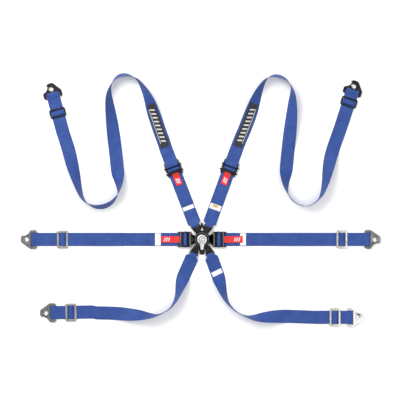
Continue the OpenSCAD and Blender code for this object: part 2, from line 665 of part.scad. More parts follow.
module shoulder_label(k)
    label(tongue_bar(k), SHOULDER_HEADINGS[k], sewn_len + 19 + 2 * k, web_t, k == 0 ? 15 : 21, 44);
module lap_label(k) label([0, 0], lap_turn(k), k == 0 ? 167.5 : 156, stack_top, 22, 47);
module crotch_label() label(tongue_bar(5), CROTCH_HEADINGS[1], sewn_len + 20, web_t, 18, 41, 6);

// ---------- slides and hooks ----------
module at_end(i) translate(flat3(ENDS[i][0])) rotate(ENDS[i][1]) children();
module at_hook(i) at_end(i) translate([ENDS[i][2] - slot_edge, 0, hook_z]) mirror([0, ENDS[i][4] > 0 ? 0 : 1, 0]) children();

module slide(i) {
    half = web_w / 2 + (i < 2 ? shoulder_slide_rim : slide_rim);
    x = slide_length(i) / 2;
    out = window_out(i);
    color(i < 2 ? [0.08, 0.08, 0.09] : [0.55, 0.55, 0.56]) at_end(i) translate([0, 0, slide_z]) linear_extrude(slide_t)
        difference() {
            polygon(rounded([[-x, -half, 7], [x, -half, 7], [x, half, 7], [-x, half, 7]]));
            for (s = [-1, 1]) translate([s * (window_in + out) / 2, 0])
                square([out - window_in, web_w + 2.4], center = true);
        }
}

// Distance from hook i's bar to its eye
function eye_at(i) = slot_edge + (i < 2 ? 11.5 : 15);

// The outline of a hook whose eye is at e: bar at the origin, tip along +X, throat on the +Y side
module hook_outline(e) {
    h = hook_half;
    ear = 18;
    polygon(rounded([
        [-ear, h - 6, 3], [-ear + 6, h, 5], [slot_edge + 1, h, 9], [e + 2.5, 9, 1.5],
        [e + 3, 7, 0.8], [e + 12, 14.5, 1.5], [e + 14, 18, 1.2], [e + 23, 9, 7],
        [e + 23, -10, 10], [slot_edge + 1, -h, 9], [-ear + 6, -h, 5], [-ear, -h + 6, 3]]));
}

module snap_hook(i) color(i == 5 ? [0.7, 0.7, 0.71] : [0.3, 0.3, 0.31]) at_hook(i) {
    ear_in = web_w / 2 + 1.5;
    difference() {
        translate([0, 0, -hook_t / 2]) linear_extrude(hook_t) difference() {
            hook_outline(eye_at(i));
            translate([slot_edge - 50, -ear_in]) square([50, 2 * ear_in]);
            translate([eye_at(i), 0]) circle(r = eye_r);
            translate([eye_at(i), 0]) rotate(throat_turn) translate([0, -throat_w / 2]) square([40, throat_w]);
        }
    }
    cross_bar(0, 0, hook_bar_r, ear_in + 2);
    translate([eye_at(i), 0, 0]) rotate(throat_turn) translate([gate_out, gate_in, hook_t / 2 - 0.5]) {
        cylinder(r = 1.8, h = gate_t + 1);
        translate([0, 0, gate_t + 0.9]) cylinder(r = 3, h = 0.8);
    }
}

// The gate: a hub on the hook's rivet, an arm over the plate, and a block in the throat
module hook_gate(i) color([0.15, 0.15, 0.16]) at_hook(i) translate([eye_at(i), 0, 0]) rotate(throat_turn)
    translate([gate_out, gate_in, 0]) difference() {
        union() {
            translate([0, 0, hook_t / 2 + 0.2]) cylinder(r = 3.4, h = gate_t);
            translate([-2.25, -gate_in - throat_w / 2 + 0.4, hook_t / 2 + 0.2]) cube([4.5, gate_in + throat_w / 2 - 0.4, gate_t]);
            translate([-2.25, -gate_in - throat_w / 2 + 0.4, -hook_t / 2]) cube([4.5, throat_w / 2 + 1.8, hook_t + 0.3]);
        }
        translate([0, 0, -hook_t]) cylinder(r = 1.8 + run_gap, h = 3 * hook_t);
    }

// ---------- what is drawn ----------
back_pad();
buckle_base();
guide_plate();
latch_plate();
latch_spring();
buckle_cover();
lever_cam();
lever_spring();
release_lever();
pivot_post();
cover_screws();
for (k = [0, 1]) {
    shoulder_tongue(k);
    crotch_tongue(k);
    lap_adjuster(k);
    lap_lock_bar(k);
    lap_pull_tab(k);
    lap_label(k);
    strap(lap_line(k));
    shoulder_adjuster(k);
    shoulder_lock_bar(k);
    shoulder_pull_tab(k);
    shoulder_patch(k);
    shoulder_label(k);
    strap(upper_line(k));
    lower_strap(k);
    crotch_strap(k);
}
crotch_label();  // crotch_label_right
for (i = [0:5]) {
    slide(i);
    snap_hook(i);
    hook_gate(i);
}
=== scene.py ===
"""Racing harness laid flat: webbing, buckle, adjusters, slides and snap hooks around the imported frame.

Shapes are worked out in millimetres in the frame's own axes and turned into metres as they enter a mesh.
"""

import json
import logging
import math
from dataclasses import dataclass, field
from enum import Enum
from typing import Optional, Sequence

import bmesh
import bpy
import numpy as np
from mathutils.geometry import tessellate_polygon
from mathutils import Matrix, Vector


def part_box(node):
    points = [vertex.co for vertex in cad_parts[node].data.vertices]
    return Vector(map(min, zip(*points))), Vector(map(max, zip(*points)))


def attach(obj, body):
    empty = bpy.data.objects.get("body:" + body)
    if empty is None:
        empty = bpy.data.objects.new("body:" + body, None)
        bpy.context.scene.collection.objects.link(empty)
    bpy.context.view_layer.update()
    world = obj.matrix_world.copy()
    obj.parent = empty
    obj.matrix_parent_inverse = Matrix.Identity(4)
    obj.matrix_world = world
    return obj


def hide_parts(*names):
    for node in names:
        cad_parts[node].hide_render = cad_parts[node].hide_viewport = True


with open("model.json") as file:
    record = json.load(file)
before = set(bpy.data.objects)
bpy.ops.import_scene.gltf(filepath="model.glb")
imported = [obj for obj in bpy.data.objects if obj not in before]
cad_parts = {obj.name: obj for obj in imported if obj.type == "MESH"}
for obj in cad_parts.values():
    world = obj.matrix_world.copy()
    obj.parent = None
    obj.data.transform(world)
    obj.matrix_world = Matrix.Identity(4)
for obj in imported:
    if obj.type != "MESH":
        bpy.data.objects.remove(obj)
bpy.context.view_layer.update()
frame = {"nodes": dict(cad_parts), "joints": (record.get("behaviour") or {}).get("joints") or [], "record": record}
LOG = logging.getLogger("harness")
MM = 0.001
Array = np.ndarray
Shell = tuple[Array, list]
UP = np.array([0.0, 0.0, 1.0])


class Side(Enum):
    """The two sides of the harness, as the piece names say them."""

    LEFT = "left"
    RIGHT = "right"


class Strap(Enum):
    """The three pairs of straps."""

    SHOULDER = "shoulder"
    LAP = "lap"
    CROTCH = "crotch"


# ---------- vectors ----------
def unit(v: Array) -> Array:
    """Each vector divided by its own length.

    Args:
        v: one vector, or an array of them along the last axis.
    Returns:
        The unit vectors, in the same shape.
    """
    v = np.asarray(v, float)
    return v / np.linalg.norm(v, axis=-1, keepdims=True)


def direction(degrees: float) -> Array:
    """Plan vector [x, y, 0] that points along a heading in degrees."""
    a = math.radians(degrees)
    return np.array([math.cos(a), math.sin(a), 0.0])


def ease(x: Array) -> Array:
    """Smooth step: 0 below 0, 1 above 1, with level ends (three x squared less two x cubed)."""
    x = np.clip(x, 0.0, 1.0)
    return x * x * (3 - 2 * x)


def node_centre(node: str) -> Array:
    """Centre of a frame node's box, in millimetres."""
    low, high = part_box(node)
    return (np.array(low) + np.array(high)) / 2 / MM


def joint(name: str) -> dict:
    """The frame's joint of that name."""
    return next(j for j in frame["joints"] if j["name"] == name)


# ---------- shells: (points, faces) in millimetres ----------
def grid_faces(rows: int, cols: int, wrap_rows: bool = False, wrap_cols: bool = False) -> list:
    """Quads of a grid of points, numbered row by row.

    Args:
        rows, cols: how many points each way.
        wrap_rows, wrap_cols: whether the last row or column joins the first.
    Returns:
        The quads as lists of four indices.
    """
    i = np.arange(rows if wrap_rows else rows - 1)[:, None]
    j = np.arange(cols if wrap_cols else cols - 1)[None, :]
    below, right = (i + 1) % rows, (j + 1) % cols
    quads = np.stack([i * cols + j, i * cols + right, below * cols + right, below * cols + j], -1)
    return quads.reshape(-1, 4).tolist()


def joined(*shells: Shell) -> Shell:
    """Several shells as one, their indices moved on."""
    points, faces, start = [], [], 0
    for p, f in shells:
        points.append(p)
        faces.extend([[k + start for k in face] for face in f])
        start += len(p)
    return np.concatenate(points), faces


def tube(rings: Array, flip: bool = False) -> Shell:
    """Rings of points joined into a tube and closed at both ends.

    Args:
        rings: the points, one row for each ring.
        flip: whether the faces are turned round, for rings that run the other way.
    Returns:
        The shell.
    """
    count, size = rings.shape[:2]
    ends = [list(range(size))[::-1], [(count - 1) * size + k for k in range(size)]]
    faces = grid_faces(count, size, wrap_cols=True) + ends
    return rings.reshape(-1, 3), [f[::-1] for f in faces] if flip else faces


def placed(shell: Shell, origin: Sequence[float], heading: float = 0.0) -> Shell:
    """A shell turned about Z by a heading in degrees and moved to an origin."""
    a = math.radians(heading)
    turn = np.array([[math.cos(a), -math.sin(a), 0], [math.sin(a), math.cos(a), 0], [0, 0, 1]])
    return shell[0] @ turn.T + np.asarray(origin, float), shell[1]


def on_edge(shell: Shell) -> Shell:
    """A shell stood up: its X stays, its Y becomes Z and its Z becomes -Y."""
    p = shell[0]
    return np.stack([p[:, 0], -p[:, 2], p[:, 1]], 1), shell[1]


def revolved(profile: Sequence, steps: int = 64, closed: bool = False,
             flutes: int = 0, depth: float = 0.0) -> Shell:
    """Profile (radius, height) turned about Z: x = r cos a, y = r sin a, z = h.

    Args:
        profile: (radius, height) pairs, upwards along the outside; radius 0 closes a pole.
        steps: points round the axis.
        closed: whether the profile is a loop, as for a ring.
        flutes: how many grooves run round the rim; each lowers the radius by depth at its middle.
        depth: depth of a groove.
    Returns:
        The shell.
    """
    p = np.asarray(profile, float)
    a = np.linspace(0, 2 * math.pi, steps, endpoint=False)
    groove = depth * (0.5 + 0.5 * np.cos(flutes * a)) if flutes else np.zeros(steps)
    r = np.maximum(p[:, :1] - groove[None, :] * (p[:, :1] > p[:, 0].max() - 2 * depth - 1e-9), 0.0)
    points = np.stack([r * np.cos(a), r * np.sin(a), np.repeat(p[:, 1:], steps, 1)], -1)
    return points.reshape(-1, 3), grid_faces(len(p), steps, wrap_rows=closed, wrap_cols=True)


def rod(radius: float, half: float, edge: float = 0.6, steps: int = 32,
        flutes: int = 0, depth: float = 0.0) -> Shell:
    """Round bar along Y, centred on the origin, its ends rounded by edge."""
    q = np.linspace(0, math.pi / 2, 4)
    low = np.stack([radius - edge + edge * np.sin(q), -half + edge - edge * np.cos(q)], 1)
    high = low[::-1] * [1, -1]
    profile = np.concatenate([[[0, -half]], low, high, [[0, half]]])
    shell = revolved(profile, steps, flutes=flutes, depth=depth)
    p = shell[0]
    return np.stack([p[:, 0], p[:, 2], -p[:, 1]], 1), shell[1]


def rounded(corners: Sequence, steps: int = 6) -> Array:
    """Outline through corners (x, y, radius), each rounded by an arc that touches both its sides."""
    out = []
    n = len(corners)
    for k, (x, y, r) in enumerate(corners):
        b = np.array([x, y], float)
        if r <= 0:
            out.append(b[None, :])
            continue
        u = unit(np.array(corners[k - 1][:2], float) - b)
        v = unit(np.array(corners[(k + 1) % n][:2], float) - b)
        half = math.acos(float(np.clip(u @ v, -1, 1))) / 2
        centre = b + unit(u + v) * r / math.sin(half)
        first, final = (b + w * r / math.tan(half) - centre for w in (u, v))
        start = math.atan2(first[1], first[0])
        turn = (math.atan2(final[1], final[0]) - start + math.pi) % (2 * math.pi) - math.pi
        a = start + turn * np.linspace(0, 1, steps + 1)
        out.append(centre + r * np.stack([np.cos(a), np.sin(a)], 1))
    return np.concatenate(out)


def rounded_box(low: tuple, high: tuple, radius: float, steps: int = 6) -> Array:
    """Outline of a rectangle between two corners, each of its four corners rounded."""
    corners = [(low[0], low[1]), (high[0], low[1]), (high[0], high[1]), (low[0], high[1])]
    return rounded([(x, y, radius) for x, y in corners], steps)


def ring_outline(radius: float, steps: int = 48, x: float = 0.0, y: float = 0.0) -> Array:
    """Circle of that radius about (x, y), counter-clockwise."""
    a = np.linspace(0, 2 * math.pi, steps, endpoint=False)
    return np.stack([x + radius * np.cos(a), y + radius * np.sin(a)], 1)


def area_of(loop: Array) -> float:
    """Area inside a plan loop, above zero where it runs counter-clockwise."""
    x, y = loop[:, 0], loop[:, 1]
    return float(0.5 * np.sum(x * np.roll(y, -1) - np.roll(x, -1) * y))


def inset(loop: Array, by: float) -> Array:
    """Loop moved to its left by a distance, along the mean of its two sides' normals."""
    ahead = unit(np.roll(loop, -1, 0) - loop)
    left = np.stack([-ahead[:, 1], ahead[:, 0]], 1)
    mean = unit(left + np.roll(left, 1, 0) + 1e-12)
    stretch = np.clip(np.sum(mean * left, 1), 0.5, 1.0)
    return loop + mean * (by / stretch)[:, None]


def plate(loops: Sequence[Array], bottom: float, top: float, edge: float, steps: int = 3) -> Shell:
    """Flat plate with rounded edges: an edge profile carried round each loop, and two flat faces.

    The profile leaves the lower face at distance edge inside the loop, follows a quarter circle
    out to the loop, climbs, and follows a second quarter circle back in to the upper face.

    Args:
        loops: the outer loop, then the holes, as plan points.
        bottom, top: the plate's two heights.
        edge: radius of the rounded edges.
        steps: steps in each quarter circle.
    Returns:
        The shell.
    """
    q = np.linspace(0, math.pi / 2, steps + 1)
    inward = np.concatenate([edge - edge * np.sin(q), edge - edge * np.cos(q)])
    height = np.concatenate([bottom + edge - edge * np.cos(q), top - edge + edge * np.sin(q)])
    ways = [loop if (area_of(loop) > 0) == (k == 0) else loop[::-1] for k, loop in enumerate(loops)]
    walls = []
    for loop in ways:
        rings = [np.column_stack([inset(loop, d), np.full(len(loop), z)]) for d, z in zip(inward, height)]
        walls.append((np.concatenate(rings), grid_faces(len(inward), len(loop), wrap_cols=True)))
    flats = [w[0][: len(loop)] for w, loop in zip(walls, ways)]
    triangles = np.array(tessellate_polygon([[tuple(p) for p in f] for f in flats]))
    starts = np.cumsum([0] + [len(w[0]) for w in walls])
    counts = [len(loop) for loop in ways]
    low = np.concatenate([s + np.arange(n) for s, n in zip(starts, counts)])
    high = np.concatenate([s + len(w[0]) - n + np.arange(n) for s, w, n in zip(starts, walls, counts)])
    flat = np.concatenate(flats)
    a, b, c = (flat[triangles[:, k], :2] for k in range(3))
    turns = (b - a)[:, 0] * (c - a)[:, 1] - (b - a)[:, 1] * (c - a)[:, 0]
    triangles = np.where((turns > 0)[:, None], triangles, triangles[:, ::-1])
    points, faces = joined(*walls)
    return points, faces + high[triangles].tolist() + low[triangles[:, ::-1]].tolist()


def node_outlines(node: str, z: float) -> list[Array]:
    """Loops round the flat face that a frame node has at height z, the outer loop first.

    An edge is on a loop where only one of the flat triangles has it, so the loops follow from
    the directed edges whose opposite isn't there.
    """
    mesh = frame["nodes"][node].data
    mesh.calc_loop_triangles()
    points = np.empty(len(mesh.vertices) * 3)
    mesh.vertices.foreach_get("co", points)
    corners = np.empty(len(mesh.loop_triangles) * 3, np.int32)
    mesh.loop_triangles.foreach_get("vertices", corners)
    points, where = np.unique(np.round(points.reshape(-1, 3) / MM, 3), axis=0, return_inverse=True)
    triangles = where.reshape(-1)[corners].reshape(-1, 3)
    triangles = triangles[np.all(np.abs(points[triangles][:, :, 2] - z) < 0.02, axis=1)]
    edges = {(int(a), int(b)) for t in triangles for a, b in zip(t, np.roll(t, -1)) if a != b}
    onward = {a: b for a, b in edges if (b, a) not in edges}
    loops = []
    while onward:
        start, at = onward.popitem()
        loop = [start]
        while at != start and at in onward:
            loop.append(at)
            at = onward.pop(at)
        if len(loop) > 2:
            loops.append(points[loop][:, :2])
    return sorted(loops, key=lambda p: -abs(area_of(p)))


# ---------- lines that webbing follows ----------
@dataclass
class Line:
    """A strip's centreline with its width direction, resampled finely and smoothed.

    Position at (s, u, h): centre(s) + u * across(s) + h * up(s), where up is the run's
    direction crossed with the width direction.
    """

    centres: Array
    across: Array
    blur: float = 1.4
    step: float = 0.5
    s: Array = field(init=False)

    def __post_init__(self) -> None:
        """Resamples the rough points every step and rounds their corners with a bell-shaped mean."""
        rough = np.concatenate([[0], np.cumsum(np.linalg.norm(np.diff(self.centres, axis=0), axis=1))])
        self.s = np.linspace(0, rough[-1], max(int(rough[-1] / self.step), 8) + 1)
        fine = [self._read(self.s, rough, v) for v in (self.centres, self.across)]
        reach = int(3 * self.blur / self.step) + 1
        bell = np.exp(-0.5 * (np.arange(-reach, reach + 1) * self.step / self.blur) ** 2)
        self.centres, self.across = (self._blurred(v, bell / bell.sum(), reach) for v in fine)
        self.across = unit(self.across)
        self.s = np.concatenate([[0], np.cumsum(np.linalg.norm(np.diff(self.centres, axis=0), axis=1))])
        self.up = unit(np.cross(np.gradient(self.centres, axis=0), self.across))

    @staticmethod
    def _read(s: Array, known: Array, v: Array) -> Array:
        """Vectors at distances s, read off between the known distances."""
        return np.stack([np.interp(s, known, v[:, k]) for k in range(3)], -1)

    def _turning(self, v: Array) -> Array:
        """Degrees per millimetre that a direction turns by, from each distance to the next."""
        return np.degrees(np.arccos(np.clip(np.sum(v[1:] * v[:-1], 1), -1, 1))) / np.diff(self.s)

    @staticmethod
    def _blurred(v: Array, bell: Array, reach: int) -> Array:
        """Weighted mean of neighbours, with both ends carried on in a straight line."""
        before = 2 * v[0] - v[reach:0:-1]
        after = 2 * v[-1] - v[-2 : -reach - 2 : -1]
        long = np.concatenate([before, v, after])
        return np.stack([np.convolve(long[:, k], bell, "valid") for k in range(3)], 1)

    @property
    def length(self) -> float:
        """Length of the centreline."""
        return float(self.s[-1])

    def at(self, s: Array, u: Array, h: Array) -> Array:
        """Points at distance s along, u across and h above the strip's middle."""
        s, u, h = np.broadcast_arrays(np.asarray(s, float), u, h)
        centre, across, up = (self._read(s, self.s, v) for v in (self.centres, self.across, self.up))
        return centre + unit(across) * u[..., None] + unit(up) * h[..., None]

    def stations(self, longest: float, sharpest: float = 10.0) -> Array:
        """Distances for rings: at most longest apart, with at most sharpest degrees of bend between them."""
        run = unit(np.gradient(self.centres, axis=0))
        bend, twist = self._turning(run), self._turning(self.across)
        dense = np.maximum(1 / longest, (bend + twist) / sharpest)
        total = np.concatenate([[0], np.cumsum(dense * np.diff(self.s))])
        return np.interp(np.linspace(0, total[-1], int(total[-1]) + 2), total, self.s)


def lie(points: Array, quiet: Sequence) -> Array:
    """Height that webbing rises off the ground by, as it never lies quite flat.

    Two crossed waves, lifted so that they stay above zero, and faded out round each fixing.

    Args:
        points: points to lift.
        quiet: (x, y, radius) circles in which webbing is held flat.
    Returns:
        The rise at each point.
    """
    x, y = points[:, 0], points[:, 1]
    wave = 0.5 + 0.3 * np.sin(x / 13 + 0.7) * np.sin(y / 15 + 0.2) + 0.2 * np.sin(x / 29 - y / 23 + 1.9)
    for qx, qy, r in quiet:
        wave = wave * ease((np.hypot(x - qx, y - qy) - r) / 45)
    return 1.7 * wave


def stood(origin: Array, heading: float, path: Sequence) -> tuple[Array, Array]:
    """Side-view path [distance, height] stood on the plan line from origin along heading."""
    p = np.asarray(path, float)
    along = direction(heading)
    start = np.array([origin[0], origin[1], 0.0])
    centres = start + p[:, :1] * along + p[:, 1:] * [0, 0, 1]
    return centres, np.repeat([[-along[1], along[0], 0.0]], len(p), 0)


def smooth(p: Array, steps: int) -> Array:
    """Curve through the points: on each stretch a cubic whose end slopes follow the neighbours."""
    p = np.asarray(p, float)
    a, b, c, d = (p[np.clip(np.arange(len(p) - 1) + k, 0, len(p) - 1)][:, None, :] for k in (-1, 0, 1, 2))
    t = (np.arange(steps) / steps)[None, :, None]
    curve = b + (c - a) * t / 2 + (2 * a - 5 * b + 4 * c - d) * t**2 / 2 + (3 * b - a - 3 * c + d) * t**3 / 2
    return np.concatenate([curve.reshape(-1, p.shape[1]), p[-1:]])


def half_turn(at: float, z: float, r: float, way: int, steps: int = 16) -> list:
    """Half circle from below a bar to above it, on the side that way points to."""
    a = np.linspace(0, math.pi, steps + 1)
    return np.stack([at + way * r * np.sin(a), z - r * np.cos(a)], 1).tolist()


def moved(path: Sequence, d: float) -> Array:
    """Side-view path moved by d towards its left."""
    p = np.asarray(path, float)
    k = np.arange(len(p))
    t = unit(p[np.minimum(k + 1, len(p) - 1)] - p[np.maximum(k - 1, 0)])
    return p + d * np.stack([-t[:, 1], t[:, 0]], 1)


# ---------- sizes ----------
@dataclass(frozen=True)
class WebbingSizes:
    """Sizes of the webbing and of the ways it is folded, in millimetres."""

    width: float = 50.0
    thick: float = 1.5
    layer_gap: float = 0.2
    metal_gap: float = 0.3
    sewn: float = 55.0
    tail: float = 54.0
    rib_pitch: float = 5.4
    rib_rise: float = 0.09

    @property
    def low(self) -> float:
        """Height of a layer on the ground."""
        return self.thick / 2

    @property
    def high(self) -> float:
        """Height of a layer that lies on another."""
        return self.low + self.thick + self.layer_gap

    def fold(self, bar: float) -> float:
        """Radius of the webbing's middle round a bar."""
        return bar + self.metal_gap + self.thick / 2


WEB = WebbingSizes()
HUB = np.zeros(3)
STITCH_RISE = WEB.thick / 2 + 0.12
HEM_HALF = WEB.width / 2 - 3
TONGUE_Z, TONGUE_T, TONGUE_BAR = 6.3, 2.5, 2.5
LOCK_R, LOOP_BAR_AT = 3.0, 14.0
LOCK_Z = WEB.low + WEB.fold(LOCK_R)
LOOP_Z = WEB.thick + WEB.metal_gap + LOCK_R
TAB_BAR_R, TAB_T, TAB_W = 2.5, 0.8, 25.0
STACK_TOP = 2 * WEB.thick + WEB.layer_gap
TAB_LOOP_R = TAB_BAR_R + WEB.metal_gap + TAB_T
TAB_BAR_Z = STACK_TOP + 0.25 + TAB_LOOP_R
RAIL_IN = WEB.width / 2 + 1.2
RAIL_OUT = RAIL_IN + 3
RAIL_TOP = TAB_BAR_Z + TAB_LOOP_R + WEB.metal_gap + 2
SLIDE_T, SLIDE_IN = 3.0, 3.5
SLIDE_Z = STACK_TOP + 0.4
HOOK_T, HOOK_BAR = 4.0, 3.0
HOOK_Z = WEB.low + WEB.fold(HOOK_BAR)


# ---------- finishes ----------
class Shader:
    """A Principled material being built, with short calls for the nodes that feed it."""

    def __init__(self, name: str, **values: object) -> None:
        """Starts a material; values set the shader's own sockets, underscores standing for spaces."""
        self.material = bpy.data.materials.new(name)
        self.material.use_nodes = True
        self.tree = self.material.node_tree
        self.bsdf = next(n for n in self.tree.nodes if n.type == "BSDF_PRINCIPLED")
        for key, value in values.items():
            self.bsdf.inputs[key.replace("_", " ")].default_value = value

    def node(self, kind: str, inputs: dict, **settings: object) -> bpy.types.Node:
        """A node of that kind, its settings applied and its inputs linked or set."""
        made = self.tree.nodes.new(kind)
        for key, value in settings.items():
            setattr(made, key, value)
        for key, value in inputs.items():
            if isinstance(value, bpy.types.NodeSocket):
                self.tree.links.new(value, made.inputs[key])
            else:
                made.inputs[key].default_value = value
        return made

    def coords(self, kind: str = "Object") -> bpy.types.NodeSocket:
        """Object coordinates, or the piece's own UV map."""
        return self.node("ShaderNodeTexCoord", {}).outputs[kind]

    def scaled(self, vector: bpy.types.NodeSocket, scale: tuple) -> bpy.types.NodeSocket:
        """Coordinates stretched by a factor along each axis."""
        return self.node("ShaderNodeMapping", {"Vector": vector, "Scale": scale}).outputs[0]

    def parts(self, vector: bpy.types.NodeSocket) -> Sequence:
        """X, Y and Z of a vector."""
        return self.node("ShaderNodeSeparateXYZ", {0: vector}).outputs

    def math(self, operation: str, a: object, b: object = 0.0, c: object = 0.0) -> bpy.types.NodeSocket:
        """One step of arithmetic on sockets or numbers."""
        return self.node("ShaderNodeMath", {0: a, 1: b, 2: c}, operation=operation).outputs[0]

    def noise(self, vector: bpy.types.NodeSocket, scale: float, detail: float = 2.0) -> bpy.types.NodeSocket:
        """Cloudy noise from 0 to 1."""
        inputs = {"Vector": vector, "Scale": scale, "Detail": detail, "Roughness": 0.55}
        return self.node("ShaderNodeTexNoise", inputs).outputs["Fac"]

    def band(self, value: object, low: float, high: float, to: tuple = (0.0, 1.0)) -> bpy.types.NodeSocket:
        """Value stretched from low..high to the given range, held at its ends."""
        inputs = {"Value": value, "From Min": low, "From Max": high, "To Min": to[0], "To Max": to[1]}
        return self.node("ShaderNodeMapRange", inputs, clamp=True).outputs[0]

    def mix(self, share: object, a: object, b: object, blend: str = "MIX") -> bpy.types.NodeSocket:
        """Colour a turning into colour b with share."""
        made = self.node("ShaderNodeMix", {}, data_type="RGBA", blend_type=blend)
        for key, value in ((0, share), (6, a), (7, b)):
            if isinstance(value, bpy.types.NodeSocket):
                self.tree.links.new(value, made.inputs[key])
            else:
                made.inputs[key].default_value = value
        return made.outputs[2]

    def feed(self, socket: str, value: bpy.types.NodeSocket) -> None:
        """Links a value to one of the shader's sockets."""
        self.tree.links.new(value, self.bsdf.inputs[socket])

    def relief(self, height: bpy.types.NodeSocket, metres: float, strength: float = 1.0) -> None:
        """Bump of that depth in metres on the shader's normal."""
        bump = self.node("ShaderNodeBump", {"Height": height, "Distance": metres, "Strength": strength})
        self.feed("Normal", bump.outputs[0])


Colour = tuple[float, float, float, float]


@dataclass(frozen=True)
class WovenFinish:
    """Narrow woven webbing: lengthwise cords crossed by slanting picks, with firm darker edges."""

    name: str
    thread: Colour
    shade: Colour
    cord: float = 0.0016
    pick: float = 0.0013
    edge_from: float = 0.0208
    edge_to: float = 0.0225
    sheen: float = 0.25

    def material(self) -> bpy.types.Material:
        """Builds the material: cords are a rectified sine across, picks slant to and fro between them."""
        s = Shader(self.name, Roughness=0.62, Sheen_Weight=self.sheen, Sheen_Roughness=0.4,
                   Specular_IOR_Level=0.35)
        u, v, _ = s.parts(s.coords("UV"))
        cords = s.math("ABSOLUTE", s.math("SINE", s.math("MULTIPLY", u, math.pi / self.cord)))
        slant = s.math("PINGPONG", s.math("DIVIDE", u, self.cord), 1.0)
        turns = s.math("ADD", s.math("DIVIDE", v, self.pick), slant)
        picks = s.math("MULTIPLY_ADD", s.math("SINE", s.math("MULTIPLY", turns, 2 * math.pi)), 0.5, 0.5)
        weave = s.math("ADD", s.math("MULTIPLY", cords, 0.6), s.math("MULTIPLY", picks, 0.4))
        cloud = s.noise(s.coords(), 38.0, 3.0)
        fine = s.noise(s.coords(), 900.0, 1.0)
        tone = s.math("ADD", s.math("MULTIPLY", weave, 0.55), s.band(cloud, 0.25, 0.75, (0.0, 0.45)))
        tone = s.math("ADD", tone, s.band(fine, 0.3, 0.7, (-0.08, 0.08)))
        edge = s.band(s.math("ABSOLUTE", u), self.edge_from, self.edge_to, (1.0, 0.72))
        colour = s.mix(s.math("MULTIPLY", tone, edge), self.shade, self.thread)
        s.feed("Base Color", colour)
        s.relief(s.math("ADD", weave, s.math("MULTIPLY", fine, 0.2)), 0.00022, 0.8)
        return s.material


@dataclass(frozen=True)
class PrintedFinish:
    """Smooth narrow cloth for labels: a fine plain weave with a few faint rules printed along it."""

    name: str
    cloth: Colour
    ink: Colour
    rules: float = 5.0
    strength: float = 0.35
    weave: float = 9000.0
    margin: float = 0.12

    def material(self) -> bpy.types.Material:
        """Builds the material; the UV runs from 0 to 1 along and across the label."""
        s = Shader(self.name, Roughness=0.55, Sheen_Weight=0.15, Specular_IOR_Level=0.4)
        u, v, _ = s.parts(s.coords("UV"))
        rule = s.math("LESS_THAN", s.math("FRACT", s.math("MULTIPLY", v, self.rules)), 0.32)
        begun = s.math("GREATER_THAN", u, self.margin)
        inner = s.math("MULTIPLY", begun, s.math("LESS_THAN", u, 1 - self.margin))
        broken = s.math("GREATER_THAN", s.noise(s.scaled(s.coords("UV"), (14, 5, 1)), 1.0), 0.47)
        ink = s.math("MULTIPLY", s.math("MULTIPLY", rule, inner), s.math("MULTIPLY", broken, self.strength))
        s.feed("Base Color", s.mix(ink, self.cloth, self.ink))
        x, y, _ = s.parts(s.coords())
        threads = [s.math("SINE", s.math("MULTIPLY", axis, self.weave)) for axis in (x, y)]
        s.relief(s.math("MULTIPLY", *threads), 0.00004, 0.6)
        return s.material


@dataclass(frozen=True)
class ThreadFinish:
    """Sewing thread or embroidery: a matt twist with a little sheen."""

    name: str
    thread: Colour

    def material(self) -> bpy.types.Material:
        """Builds the material; its fibres are fine noise."""
        s = Shader(self.name, Roughness=0.6, Sheen_Weight=0.2, Specular_IOR_Level=0.3)
        fibre = s.noise(s.coords(), 2500.0, 1.0)
        dark = tuple(0.6 * c for c in self.thread[:3]) + (1.0,)
        s.feed("Base Color", s.mix(s.band(fibre, 0.3, 0.7), dark, self.thread))
        s.relief(fibre, 0.00006, 0.7)
        return s.material


@dataclass(frozen=True)
class PlatedFinish:
    """Stamped and plated steel: satin, lightly scratched, cloudy where it was handled."""

    name: str
    metal: Colour
    worn: Colour
    roughness: float = 0.32
    metallic: float = 1.0

    def material(self) -> bpy.types.Material:
        """Builds the material: brushed lines are noise stretched along X, wear is patchy noise."""
        s = Shader(self.name, Metallic=self.metallic)
        place = s.coords()
        brushed = s.noise(s.scaled(place, (90, 2600, 900)), 1.0, 3.0)
        patch = s.noise(place, 75.0, 4.0)
        s.feed("Base Color", s.mix(s.band(patch, 0.42, 0.68), self.metal, self.worn))
        handled = s.band(patch, 0.3, 0.7, (self.roughness - 0.06, self.roughness + 0.1))
        s.feed("Roughness", s.math("ADD", handled, s.band(brushed, 0.3, 0.7, (-0.04, 0.04))))
        s.relief(brushed, 0.00002, 0.5)
        return s.material


@dataclass(frozen=True)
class CoatedFinish:
    """Black powder coat or oxide on steel, or moulded rubber: fine orange peel and dull scuffs."""

    name: str
    coat: Colour
    scuff: Colour
    roughness: float = 0.42
    grain: float = 1500.0
    depth: float = 0.00003

    def material(self) -> bpy.types.Material:
        """Builds the material: the peel is fine noise, the scuffs are coarse noise."""
        s = Shader(self.name, Specular_IOR_Level=0.16)
        place = s.coords()
        peel, patch = s.noise(place, self.grain, 2.0), s.noise(place, 60.0, 5.0)
        s.feed("Base Color", s.mix(s.band(patch, 0.5, 0.75), self.coat, self.scuff))
        s.feed("Roughness", s.band(patch, 0.3, 0.7, (self.roughness - 0.08, self.roughness + 0.12)))
        s.relief(peel, self.depth, 0.6)
        return s.material


